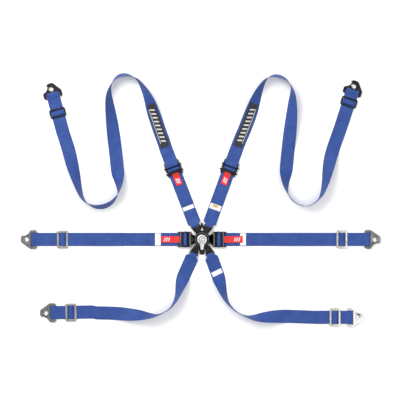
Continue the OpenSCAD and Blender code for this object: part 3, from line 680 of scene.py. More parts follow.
@dataclass(frozen=True)
class TurnedFinish:
    """Satin aluminium turned in a lathe: fine rings and a darker ring of short marks about the axis."""

    name: str
    metal: Colour
    pitch: float = 0.0006
    ring_from: float = 0.0095
    ring_to: float = 0.0125
    marks: float = 9.0
    dark: Colour = (0.08, 0.08, 0.085, 1)

    def material(self) -> bpy.types.Material:
        """Builds the material: rings are a sine of the distance from the axis."""
        s = Shader(self.name, Metallic=1.0)
        x, y, _ = s.parts(s.coords())
        radius = s.math("SQRT", s.math("ADD", s.math("MULTIPLY", x, x), s.math("MULTIPLY", y, y)))
        waves = s.math("SINE", s.math("MULTIPLY", radius, 2 * math.pi / self.pitch))
        rings = s.math("MULTIPLY_ADD", waves, 0.5, 0.5)
        cloud = s.noise(s.coords(), 120.0, 3.0)
        shaded = tuple(0.82 * c for c in self.metal[:3]) + (1.0,)
        outside = s.math("GREATER_THAN", radius, self.ring_from)
        ring = s.math("MULTIPLY", outside, s.math("LESS_THAN", radius, self.ring_to))
        around = s.math("FRACT", s.math("MULTIPLY", s.math("ARCTAN2", y, x), self.marks / (2 * math.pi)))
        mark = s.math("MULTIPLY", s.math("LESS_THAN", around, 0.55), ring)
        tone = s.math("ADD", s.math("MULTIPLY", ring, 0.35), s.math("MULTIPLY", mark, 0.4))
        turned = s.mix(s.math("MULTIPLY", rings, cloud), self.metal, shaded)
        s.feed("Base Color", s.mix(tone, turned, self.dark))
        s.feed("Roughness", s.band(cloud, 0.3, 0.7, (0.3, 0.42)))
        s.relief(rings, 0.00003, 0.5)
        return s.material


BLACK: Colour = (0.008, 0.008, 0.009, 1)
SCUFF: Colour = (0.03, 0.029, 0.027, 1)
FINISHES = {
    "webbing_blue": WovenFinish("webbing blue", (0.028, 0.085, 0.335, 1), (0.008, 0.027, 0.145, 1),
                                sheen=0.05),
    "webbing_red": WovenFinish("tab webbing red", (0.74, 0.042, 0.024, 1), (0.48, 0.011, 0.010, 1),
                               cord=0.0012, pick=0.001, edge_from=0.0112, edge_to=0.012),
    "tab_cover": WovenFinish("tab cover red", (0.9, 0.02, 0.03, 1), (0.66, 0.008, 0.018, 1),
                             cord=0.0007, pick=0.0007, edge_from=0.0114, edge_to=0.0122),
    "label_white": PrintedFinish("label white", (0.76, 0.76, 0.755, 1), (0.22, 0.22, 0.24, 1)),
    "label_gold": PrintedFinish("label gold", (0.55, 0.40, 0.07, 1), (0.30, 0.20, 0.03, 1), 3.0, 0.6),
    "patch_black": WovenFinish("patch black", (0.03, 0.03, 0.032, 1), (0.008, 0.008, 0.009, 1),
                               cord=0.0009, pick=0.0009, edge_from=0.0158, edge_to=0.0165),
    "thread_blue": ThreadFinish("thread blue", (0.030, 0.078, 0.30, 1)),
    "thread_black": ThreadFinish("thread black", (0.03, 0.03, 0.03, 1)),
    "thread_red": ThreadFinish("thread red", (0.95, 0.20, 0.16, 1)),
    "thread_white": ThreadFinish("thread white", (0.72, 0.72, 0.71, 1)),
    "pad_black": CoatedFinish("pad rubber", (0.016, 0.016, 0.016, 1), (0.03, 0.03, 0.03, 1), 0.7,
                              grain=700.0, depth=0.00008),
    "buckle_black": CoatedFinish("buckle black", BLACK, SCUFF, 0.36),
    "ring_grey": PlatedFinish("ring grey", (0.10, 0.10, 0.105, 1), (0.06, 0.06, 0.062, 1), 0.42),
    "tongue_black": CoatedFinish("tongue black", BLACK, SCUFF, 0.4),
    "adjuster_black": CoatedFinish("adjuster black", BLACK, SCUFF, 0.4),
    "slide_black": CoatedFinish("slide black", BLACK, SCUFF, 0.36),
    "hook_black": CoatedFinish("hook black", BLACK, SCUFF, 0.38),
    "gate_black": CoatedFinish("gate black", BLACK, SCUFF, 0.5),
    "lever_silver": TurnedFinish("lever aluminium", (0.74, 0.74, 0.745, 1)),
    "inner_steel": PlatedFinish("inner steel", (0.70, 0.70, 0.71, 1), (0.55, 0.545, 0.54, 1)),
    "bar_steel": PlatedFinish("bar steel", (0.16, 0.16, 0.16, 1), (0.10, 0.10, 0.10, 1), 0.4),
    "lock_bar_steel": PlatedFinish("lock bar steel", (0.28, 0.28, 0.28, 1), (0.19, 0.19, 0.19, 1), 0.38),
    "slide_steel": PlatedFinish("slide steel", (0.50, 0.485, 0.45, 1), (0.30, 0.29, 0.27, 1), 0.3),
    "hook_steel": PlatedFinish("hook steel", (0.20, 0.20, 0.196, 1), (0.12, 0.12, 0.117, 1), 0.44),
    "hook_bright": PlatedFinish("hook bright steel", (0.62, 0.62, 0.61, 1), (0.42, 0.42, 0.41, 1), 0.36),
}
_made: dict = {}


def finish(key: str) -> bpy.types.Material:
    """The material of that finish, built once."""
    if key not in _made:
        _made[key] = FINISHES[key].material()
    return _made[key]


# ---------- pieces ----------
def make_piece(name: str, shell: Shell, look: str, body: str, replaces: Sequence[str] = (),
               uv: Optional[Array] = None, smooth_angle: float = 40.0,
               merge: bool = True) -> bpy.types.Object:
    """Puts a shell into a mesh, dresses it and lets it ride on its body.

    Args:
        name: the piece's name.
        shell: points in millimetres, and faces.
        look: key of its finish.
        body: the frame body that it moves with.
        replaces: frame nodes that it stands for.
        uv: one (u, v) per point, where a pattern follows the surface.
        smooth_angle: edges sharper than this many degrees stay hard.
        merge: whether points in the same place become one.
    Returns:
        The piece.
    """
    mesh = bpy.data.meshes.new(name)
    mesh.from_pydata((np.asarray(shell[0]) * MM).tolist(), [], shell[1])
    if uv is not None:
        corners = np.empty(len(mesh.loops), np.int32)
        mesh.loops.foreach_get("vertex_index", corners)
        layer = mesh.uv_layers.new(name="UVMap")
        layer.data.foreach_set("uv", np.asarray(uv, np.float32)[corners].ravel())
    if merge:
        work = bmesh.new()
        work.from_mesh(mesh)
        bmesh.ops.remove_doubles(work, verts=work.verts, dist=0.002 * MM)
        bmesh.ops.dissolve_degenerate(work, edges=work.edges, dist=0.001 * MM)
        work.to_mesh(mesh)
        work.free()
    mesh.validate()
    mesh.polygons.foreach_set("use_smooth", np.ones(len(mesh.polygons), bool))
    mesh.set_sharp_from_angle(angle=math.radians(smooth_angle))
    mesh.materials.append(finish(look))
    piece = bpy.data.objects.new(name, mesh)
    bpy.context.scene.collection.objects.link(piece)
    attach(piece, body)
    if replaces:
        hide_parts(*replaces)
    LOG.info("%s: %d faces on %s", name, len(mesh.polygons), body)
    return piece


def strip_section(width: float, thick: float, count: int, rib_pitch: float = 0.0,
                  rib_rise: float = 0.0) -> Array:
    """Cross-section of woven strip: flat faces with shallow lengthwise ribs between rounded edges.

    Args:
        width, thick: the strip's size.
        count: points along each face.
        rib_pitch, rib_rise: spacing and height of the ribs, or 0 for none.
    Returns:
        (across, height) points, counter-clockwise seen along the strip.
    """
    x = np.linspace(-width / 2 + thick / 2, width / 2 - thick / 2, count)
    rise = rib_rise * np.cos(2 * math.pi * x / rib_pitch) if rib_pitch else np.zeros(count)
    rise = rise * ease((width / 2 - np.abs(x)) / 4)
    a = np.radians([-54, -18, 18, 54])
    edge = np.stack([width / 2 - thick / 2 + thick / 2 * np.cos(a), thick / 2 * np.sin(a)], 1)
    bottom = np.stack([x, -thick / 2 - rise], 1)
    top = np.stack([x[::-1], thick / 2 + rise[::-1]], 1)
    return np.concatenate([bottom, edge, top, -edge])


def strip(line: Line, section: Array, longest: float, narrow: Optional[Array] = None,
          rise: float = 0.0) -> tuple[Shell, Array]:
    """A section carried along a line: point = line at (s, share(s) * across, rise + height).

    Args:
        line: the line to follow.
        section: (across, height) points.
        longest: greatest distance between rings.
        narrow: (distance, share) rows that scale the width along the line.
        rise: height of the strip's middle above the line.
    Returns:
        The shell, closed at both ends, and its UV, across and along in metres.
    """
    s = line.stations(longest)
    share = np.ones(len(s)) if narrow is None else np.interp(s, narrow[:, 0], narrow[:, 1])
    points = line.at(s[:, None], share[:, None] * section[None, :, 0], rise + section[None, :, 1])
    uv = np.stack(np.broadcast_arrays(section[None, :, 0], s[:, None]), -1) * MM
    return tube(points, flip=True), uv.reshape(-1, 2)


def bar_section(wide: float, thick: float, edge: float) -> Array:
    """Six-sided section of a low bar, its foot in the cloth and its top corners cut by edge."""
    half = wide / 2
    return np.array([[-half, -thick], [half, -thick], [half, thick * 0.6], [half - edge, thick],
                     [-half + edge, thick], [-half, thick * 0.6]])


def raised_rule(line: Line, start: float, end: float, across: float, wide: float, rise: float,
                thick: float) -> Shell:
    """One bar of embroidery that runs along a strip, at a distance across it."""
    section = bar_section(wide, thick, 0.4)
    s = np.linspace(start, end, 40)[:, None]
    return tube(line.at(s, across + section[None, :, 0], rise + section[None, :, 1]), flip=True)


def raised_bars(line: Line, starts: Sequence[float], long: float, wide: float, slant: float,
                rise: float, thick: float) -> Shell:
    """Slanted bars of embroidery across a strip: a low rounded section carried across it.

    Args:
        line: the strip's line.
        starts: distances of the bars' middles along the line.
        long: length of a bar across the strip.
        wide: width of a bar along the strip.
        slant: how far a bar's end is ahead of its middle, per millimetre across.
        rise: height of the surface above the line.
        thick: height of the embroidery.
    Returns:
        The shell of all the bars.
    """
    section = bar_section(wide, thick, 0.5)
    u = np.linspace(-long / 2, long / 2, 9)[:, None]
    along = slant * u + section[None, :, 0]
    return joined(*[tube(line.at(start + along, u, rise + section[None, :, 1])) for start in starts])


@dataclass(frozen=True)
class Seam:
    """Rows of stitches on a strip: each stitch a short bead of thread that dips in at both ends."""

    length: float = 2.6
    pitch: float = 3.6
    radius: float = 0.34
    sides: int = 6

    def row(self, line: Line, start: tuple, end: tuple, rise: float) -> Shell:
        """Stitches along the straight row from start to end, each (distance, across)."""
        a, b = np.array(start, float), np.array(end, float)
        count = max(int(np.linalg.norm(b - a) / self.pitch), 1)
        share = (np.arange(count) + 0.5) / count
        middle = a + share[:, None] * (b - a)
        way = unit(b - a)
        t = np.linspace(-1, 1, 5)
        swell = np.sqrt(np.clip(1 - (0.92 * t) ** 2, 0, 1))
        angle = np.linspace(0, 2 * math.pi, self.sides, endpoint=False)
        along = middle[:, None, None, :] + t[None, :, None, None] * self.length / 2 * way
        side = (self.radius * swell)[:, None] * np.cos(angle)
        lift = (self.radius * swell)[:, None] * np.sin(angle)
        s = along[..., 0] - side[None] * way[1]
        u = along[..., 1] + side[None] * way[0]
        points = line.at(s, u, rise + np.broadcast_to(lift[None], s.shape))
        return joined(*[tube(stitch, flip=True) for stitch in points])

    def box(self, line: Line, low: tuple, high: tuple, rise: float, cross: bool = True) -> Shell:
        """Stitches round a rectangle of (distance, across), with its diagonals if cross."""
        a, b, c, d = low, (high[0], low[1]), high, (low[0], high[1])
        rows = [(a, b), (b, c), (c, d), (d, a)] + ([(a, c), (b, d)] if cross else [])
        return joined(*[self.row(line, p, q, rise) for p, q in rows])


# ---------- straps ----------
@dataclass
class StrapEnd:
    """The far end of a strap: through its slide, round its hook's bar and back as a free end."""

    name: str
    tail: float
    slide_length: float = 42.0
    slide_bar: float = 7.5
    slide_at: Array = field(init=False)
    hook_at: float = field(init=False)
    heading: float = field(init=False)

    def __post_init__(self) -> None:
        """Finds the slide and the hook's bar in the frame."""
        pivot = joint(f"hook_swivel_{self.name}")
        axis = pivot["axis"]
        self.heading = math.degrees(math.atan2(axis[0], -axis[1]))
        self.slide_at = node_centre(f"slide_{self.name}")
        bar = np.array(pivot["pos_m"]) / MM
        self.hook_at = float((bar - self.slide_at) @ direction(self.heading))

    @property
    def tail_end(self) -> float:
        """Distance of the free end from the slide's middle, below zero as it lies before the slide."""
        return -self.slide_length / 2 - self.tail

    def through_slide(self, start: float, end: float) -> list:
        """Side-view path over the slide's middle bar and under its outer ones."""
        out = self.slide_length / 2 - self.slide_bar
        over = SLIDE_Z + SLIDE_T + WEB.metal_gap + WEB.thick / 2
        rise = [[-out, WEB.low], [2.5 - out, WEB.low + 0.45], [-SLIDE_IN - 1.5, over - 0.55],
                [-SLIDE_IN, over]]
        fall = [[-x, z] for x, z in reversed(rise)]
        return [[start, WEB.low], *rise, *fall, [end, WEB.low]]

    def path(self) -> tuple[Array, Array]:
        """Centres and width directions from before the slide, round the hook's bar, to the free end."""
        r = WEB.fold(HOOK_BAR)
        out = self.through_slide(self.tail_end, self.hook_at - 22)
        back = moved(out, WEB.thick + WEB.layer_gap)[::-1].tolist()
        turn = half_turn(self.hook_at, HOOK_Z, r, 1)
        path = [[self.tail_end - 6, WEB.low], *out, *turn, [self.hook_at - 6, HOOK_Z + r - 1.2], *back]
        return stood(self.slide_at, self.heading, path)

    def tail_line(self) -> Line:
        """Line of the free end, from the slide outwards."""
        ends = [[self.tail_end, WEB.high], [-self.slide_length / 2, WEB.high]]
        return Line(*stood(self.slide_at, self.heading, ends))


def sewn_end(z: float, r: float) -> list:
    """Side-view path of a sewn end: out on the ground, round the bar and back on top of itself."""
    below = [[WEB.sewn, WEB.low], [18, WEB.low], [12, (WEB.low + z - r) / 2], [6, z - r]]
    above = [[8, z + r - 0.6], [30, WEB.high], [WEB.sewn + 1, WEB.high], [WEB.sewn + 8, WEB.low]]
    return [*below, *half_turn(0, z, r, -1), *above]


def over_lock_bar() -> list:
    """Side-view path round a lock bar from below, and down onto the layer beneath."""
    r = WEB.fold(LOCK_R)
    return half_turn(0, LOCK_Z, r, -1) + [[5, LOCK_Z + r], [14, WEB.high]]


def twisted(route: Array) -> tuple[Array, Array]:
    """Plan route (x, y, twist) as centres and width directions.

    The width direction is cos(twist) times the route's left plus sin(twist) times up, and the
    centre stands high enough for the lower edge to touch the ground.
    """
    run = unit(np.gradient(route[:, :2], axis=0))
    a = np.radians(route[:, 2])
    z = WEB.width / 2 * np.abs(np.sin(a)) + WEB.thick / 2 * np.abs(np.cos(a))
    across = np.stack([-run[:, 1] * np.cos(a), run[:, 0] * np.cos(a), np.sin(a)], 1)
    return np.column_stack([route[:, :2], z]), across


class Straps:
    """Makes the straps, their stitching, labels and patches, on the places that the frame gives."""

    SHOULDER_ROUTES = {
        Side.LEFT: [(-148, 378, 0), (-162, 416, 0), (-175, 454, -6), (-188, 492, -20), (-201, 530, -42),
                    (-219, 568, -63), (-243, 604, -82), (-270, 620, -98), (-293, 624, -106), (-315, 620, -106),
                    (-334, 604, -98), (-347, 579, -86), (-352, 549, -68), (-351, 520, -54), (-346, 480, -40),
                    (-338, 416, -20), (-329, 340, 0), (-321, 264, 8), (-316, 226, 42), (-315, 200, 65),
                    (-319, 176, 85), (-330, 155, 98), (-346, 138, 106), (-370, 126, 110), (-395, 123, 108),
                    (-418, 128, 100), (-440, 141, 88), (-457, 165, 76), (-470, 204, 60), (-480, 240, 44),
                    (-492, 283, 24), (-507, 340, 4), (-521, 385, 0)],
        Side.RIGHT: [(147, 384, 0), (161, 416, 0), (176, 454, 6), (190, 492, 20), (204, 532, 42),
                     (222, 574, 64), (241, 604, 82), (262, 618, 98), (285, 620, 106), (308, 613, 104),
                     (326, 600, 96), (338, 578, 88), (343, 552, 70), (343, 522, 54), (341, 480, 38),
                     (335, 416, 18), (327, 340, 0), (320, 270, -10), (317, 230, -45), (319, 200, -68),
                     (326, 174, -86), (340, 151, -90), (364, 134, -90), (395, 127, -90), (420, 134, -90),
                     (441, 152, -88), (456, 176, -76), (468, 216, -60), (476, 255, -42), (488, 310, -15),
                     (502, 355, 0), (520, 406, 0)],
    }
    CROTCH_ROUTES = {
        Side.LEFT: [(-69, -138, 0), (-80, -168, 34), (-90, -203, 62), (-103, -235, 78), (-121, -260, 87),
                    (-146, -277, 90), (-172, -287, 84), (-200, -289, 66), (-236, -287, 42), (-274, -285, 22),
                    (-312, -282, 5), (-350, -280, 0), (-400, -279, 0)],
        Side.RIGHT: [(61, -138, 0), (71, -170, -34), (83, -207, -60), (97, -238, -78), (119, -264, -87),
                     (145, -282, -90), (172, -292, -84), (200, -296, -66), (236, -295, -42), (274, -293, -22),
                     (312, -292, -5), (350, -293, 0), (404, -295, 0)],
    }
    TONGUE_BARS = {(Strap.SHOULDER, Side.LEFT): (57.0, 116.0), (Strap.SHOULDER, Side.RIGHT): (57.0, 64.0),
                   (Strap.CROTCH, Side.LEFT): (64.0, 240.0), (Strap.CROTCH, Side.RIGHT): (64.0, 299.0)}
    END_WIDTH = {Strap.SHOULDER: 28.0, Strap.CROTCH: 28.0}
    PINCH = {Strap.SHOULDER: 9.0, Strap.CROTCH: 12.0}
    CROTCH_HEADINGS = {Side.LEFT: 246.0, Side.RIGHT: 290.1}
    LAP_TAIL = {Side.LEFT: 231.0, Side.RIGHT: 256.0}
    LAP_INNER_END = {Side.LEFT: 204.0, Side.RIGHT: 191.0}
    SHOULDER_TAIL_TO = {Side.LEFT: 84.0, Side.RIGHT: 89.0}

    def __init__(self) -> None:
        """Reads the adjusters' and tongues' places from the frame."""
        self.section = strip_section(WEB.width, WEB.thick, 46, WEB.rib_pitch, WEB.rib_rise)
        self.seam = Seam()
        self.lock, self.heading, self.tongue = {}, {}, {}
        for side in Side:
            for kind in (Strap.SHOULDER, Strap.LAP):
                axis = joint(f"{kind.value}_lock_slide_{side.value}")["axis"]
                self.heading[kind, side] = math.degrees(math.atan2(axis[1], axis[0]))
                self.lock[kind, side] = node_centre(f"{kind.value}_lock_bar_{side.value}")
            for kind in (Strap.SHOULDER, Strap.CROTCH):
                reach, angle = self.TONGUE_BARS[kind, side]
                self.tongue[kind, side] = reach * direction(angle)
        self.ends = {}
        for side in Side:
            self.ends[Strap.SHOULDER, side] = StrapEnd(f"shoulder_{side.value}", WEB.tail, 35.0, 6.0)
            self.ends[Strap.LAP, side] = StrapEnd(f"lap_{side.value}", self.LAP_TAIL[side] - 21)
            self.ends[Strap.CROTCH, side] = StrapEnd(f"crotch_{side.value}", WEB.tail)
        self.quiet = [(0.0, 0.0, 190.0)]
        self.quiet += [(*p[:2], 78.0) for p in self.lock.values()]
        self.quiet += [(*e.slide_at[:2], 30.0) for e in self.ends.values()]
        hooks = [e.slide_at + e.hook_at * direction(e.heading) for e in self.ends.values()]
        self.quiet += [(*hook[:2], 35.0) for hook in hooks]

    def body(self, kind: Strap, side: Side) -> str:
        """The frame body that holds a strap."""
        return "buckle" if (kind, side) == (Strap.LAP, Side.LEFT) else f"{kind.value}_{side.value}"

    def out_heading(self, side: Side) -> float:
        """Heading of a lower shoulder strap from its tongue to its adjuster."""
        return self.heading[Strap.SHOULDER, side] + 180

    def line(self, *paths: tuple[Array, Array]) -> Line:
        """Paths one after the other as one line, lifted a little where nothing holds it down."""
        centres = np.concatenate([p[0] for p in paths])
        across = np.concatenate([p[1] for p in paths])
        return self.lifted(Line(centres, across))

    def lifted(self, line: Line) -> Line:
        """The same line, lifted a little where nothing holds the webbing down."""
        line.centres = line.centres + lie(line.centres, self.quiet)[:, None] * UP
        return line

    def hem(self, line: Line, places: Sequence[float]) -> Shell:
        """Rows of stitches straight across the webbing, at the given distances along a line."""
        return joined(*[self.seam.row(line, (d, -HEM_HALF), (d, HEM_HALF), STITCH_RISE) for d in places])

    def narrowing(self, line: Line, bar: Array, kind: Strap) -> Array:
        """Share of the full width along a line: narrow at the tongue's bar, full a little way out."""
        away = np.linalg.norm((line.centres - bar)[:, :2], axis=1)
        least = self.END_WIDTH[kind] / WEB.width
        return np.stack([line.s, least + (1 - least) * ease((away - 4.5) / self.PINCH[kind]) ** 0.8], 1)

    def add_strap(self, name: str, line: Line, body: str, narrow: Optional[Array] = None) -> None:
        shell, uv = strip(line, self.section, 4.0, narrow)
        piece = make_piece(f"{name}_webbing", shell, "webbing_blue", body, [name], uv, 60.0, merge=False)

    def add_seams(self, name: str, shells: Sequence[Shell], look: str, body: str) -> None:
        """Makes one piece of all the stitches of a strap."""
        make_piece(name, joined(*shells), look, body, smooth_angle=70.0, merge=False)

    def sewn_box(self, bar: Array, heading: float, start: float) -> Shell:
        """Box stitching with a cross on a sewn end, from start to the webbing's end."""
        line = Line(*stood(bar, heading, [[start, WEB.high], [WEB.sewn + 2, WEB.high]]))
        half = WEB.width / 2 - 4
        return self.seam.box(line, (2, -half), (line.length - 5, half), STITCH_RISE)

    def tail_seam(self, end: StrapEnd) -> Shell:
        """Two rows of stitches that hold the hem of a free end."""
        return self.hem(self.lifted(end.tail_line()), (5.0, 9.0))

    def shoulder(self, side: Side) -> None:
        """Both stretches of a shoulder strap, with their stitching."""
        tag, body = side.value, self.body(Strap.SHOULDER, side)
        heading, tail_to = self.out_heading(side), self.SHOULDER_TAIL_TO[side]
        lock, tongue = self.lock[Strap.SHOULDER, side], self.tongue[Strap.SHOULDER, side]
        reach = float(np.linalg.norm((lock - tongue)[:2]))
        fold = [[reach - x, z] for x, z in over_lock_bar()]
        tongue_z = TONGUE_Z + TONGUE_T / 2
        low = [*sewn_end(tongue_z, WEB.fold(TONGUE_BAR)), [reach - 30, WEB.low], *fold,
               [reach - 60, WEB.high], [tail_to, WEB.high]]
        lower = self.line(stood(tongue, heading, low))
        narrow = self.narrowing(lower, tongue, Strap.SHOULDER)
        self.add_strap(f"shoulder_lower_strap_{tag}", lower, body, narrow)
        loop = lock + LOOP_BAR_AT * direction(heading)
        route = smooth(np.array(self.SHOULDER_ROUTES[side], float), 10)
        end = self.ends[Strap.SHOULDER, side]
        sewn = stood(loop, heading, sewn_end(LOOP_Z, WEB.fold(LOCK_R)))
        upper = self.line(sewn, twisted(route), end.path())
        self.add_strap(f"shoulder_upper_strap_{tag}", upper, body)
        inner = Line(*stood(tongue, heading, [[tail_to, WEB.high], [tail_to + 20, WEB.high]]))
        seams = [self.sewn_box(loop, heading, 27), self.sewn_box(tongue, heading, 30), self.tail_seam(end)]
        seams.append(self.hem(inner, (5.0, 9.0)))
        self.add_seams(f"shoulder_stitching_{tag}", seams, "thread_blue", body)
        self.patch(side, loop, heading, route)
        middle, half = (WEB.sewn + 19, 7.5) if side is Side.LEFT else (WEB.sewn + 21, 10.5)
        label = Line(*stood(tongue, heading, [[middle - half, WEB.thick], [middle + half, WEB.thick]]))
        self.label(f"shoulder_label_{tag}", label, 44, body)
        if side is Side.RIGHT:
            self.seal(label, body)

    def lap(self, side: Side) -> None:
        """A lap strap, with its stitching and label."""
        tag, body = side.value, self.body(Strap.LAP, side)
        heading = self.heading[Strap.LAP, side]
        at = abs(float(self.lock[Strap.LAP, side][0]))
        end = self.ends[Strap.LAP, side]
        turn = over_lock_bar()[::-1]
        inner_end = self.LAP_INNER_END[side]
        inner = [[inner_end, WEB.high], [at + 60, WEB.high], *[[at + x, z] for x, z in turn],
                 [at + 30, WEB.low], [inner_end + 20, WEB.low]]
        line = self.line(stood(HUB, heading, inner), end.path())
        self.add_strap(f"lap_strap_{tag}", line, body)
        free_end = Line(*stood(HUB, heading, [[inner_end - 20, WEB.high], [inner_end, WEB.high]]))
        seams = [self.tail_seam(end), self.hem(free_end, (11.0, 15.0))]
        self.add_seams(f"lap_stitching_{tag}", seams, "thread_blue", body)
        middle = float(node_centre(f"lap_label_{tag}")[0]) * float(direction(heading)[0])
        label = Line(*stood(HUB, heading, [[middle - 11, STACK_TOP], [middle + 11, STACK_TOP]]))
        self.label(f"lap_label_{tag}", label, 47, body)

    def crotch(self, side: Side) -> None:
        """A crotch strap, with its stitching."""
        tag, body = side.value, self.body(Strap.CROTCH, side)
        tongue, heading = self.tongue[Strap.CROTCH, side], self.CROTCH_HEADINGS[side]
        end = self.ends[Strap.CROTCH, side]
        route = smooth(np.array(self.CROTCH_ROUTES[side], float), 10)
        start = stood(tongue, heading, sewn_end(TONGUE_Z + TONGUE_T / 2, WEB.fold(TONGUE_BAR)))
        line = self.line(start, twisted(route), end.path())
        self.add_strap(f"crotch_strap_{tag}", line, body, self.narrowing(line, tongue, Strap.CROTCH))
        seams = [self.sewn_box(tongue, heading, 30), self.tail_seam(end)]
        self.add_seams(f"crotch_stitching_{tag}", seams, "thread_blue", body)
        if side is Side.RIGHT:
            middle = tongue + (WEB.sewn + 20) * direction(heading)
            label = Line(*stood(middle, heading + 6, [[-9, WEB.thick], [9, WEB.thick]]))
            self.label("crotch_label_right", label, 41, body)

    def label(self, name: str, line: Line, width: float, body: str) -> None:
        """A sewn label: a thin strip with a row of stitches along each end."""
        section = strip_section(width, 0.4, 24)
        shell, uv = strip(line, section, 1.5, rise=0.3)
        uv = (uv / MM) / [width, line.length] + [0.5, 0]
        piece = make_piece(f"{name}_cloth", shell, "label_white", body, [name], uv[:, ::-1], 60.0)
        half = width / 2 - 1.2
        fine = Seam(1.6, 2.4, 0.2)
        border = fine.box(line, (1.2, -half), (line.length - 1.2, half), 0.5, False)
        self.add_seams(f"{name}_stitching", [border], "thread_white", body)

    def seal(self, line: Line, body: str) -> None:
        """The small gold seal on the right shoulder's label."""
        low = line.at(line.length - 7, -8, 0)
        high = line.at(line.length - 7, 12, 0)
        across = unit(high - low)
        run = np.cross([0, 0, 1], across)
        centres = np.stack([low, high])
        seal = Line(centres, np.repeat([run], 2, 0), blur=0.3)
        shell, uv = strip(seal, strip_section(10, 0.16, 8), 1.5, rise=0.62)
        make_piece("shoulder_label_right_seal", shell, "label_gold", body, (), uv / MM / [10, 18], 60.0)

    def patch(self, side: Side, loop: Array, heading: float, route: Array) -> None:
        """The black patch on a shoulder strap, with stitched edges and slanted white bars."""
        tag, body = side.value, self.body(Strap.SHOULDER, side)
        start = stood(loop, heading, [[WEB.sewn + 20, WEB.low]])
        centres, across = twisted(route[:37])
        line = self.line((np.concatenate([start[0], centres]), np.concatenate([start[1], across])))
        rise, width, thick = WEB.thick / 2 + 0.75, 34.0, 1.0
        name = f"shoulder_patch_{tag}"
        shell, uv = strip(line, strip_section(width, thick, 24), 2.5, rise=rise)
        piece = make_piece(f"{name}_cloth", shell, "patch_black", body, [name], uv, 60.0)
        top = rise + thick / 2
        half = width / 2 - 1.6
        seam = [Seam(2.2, 3.0, 0.26).box(line, (1.8, -half), (line.length - 1.8, half), top + 0.05, False)]
        self.add_seams(f"{name}_stitching", seam, "thread_black", body)
        mirror = 1 if side is Side.LEFT else -1
        starts = np.linspace(25, line.length - 25, 9)
        bars = raised_bars(line, starts, 18, 5.4, 0.35 * mirror, top, 0.22)
        rule = raised_rule(line, 18, line.length - 18, 13.0 * mirror, 1.8, top, 0.22)
        make_piece(f"{name}_bars", joined(bars, rule), "thread_white", body, smooth_angle=50.0)


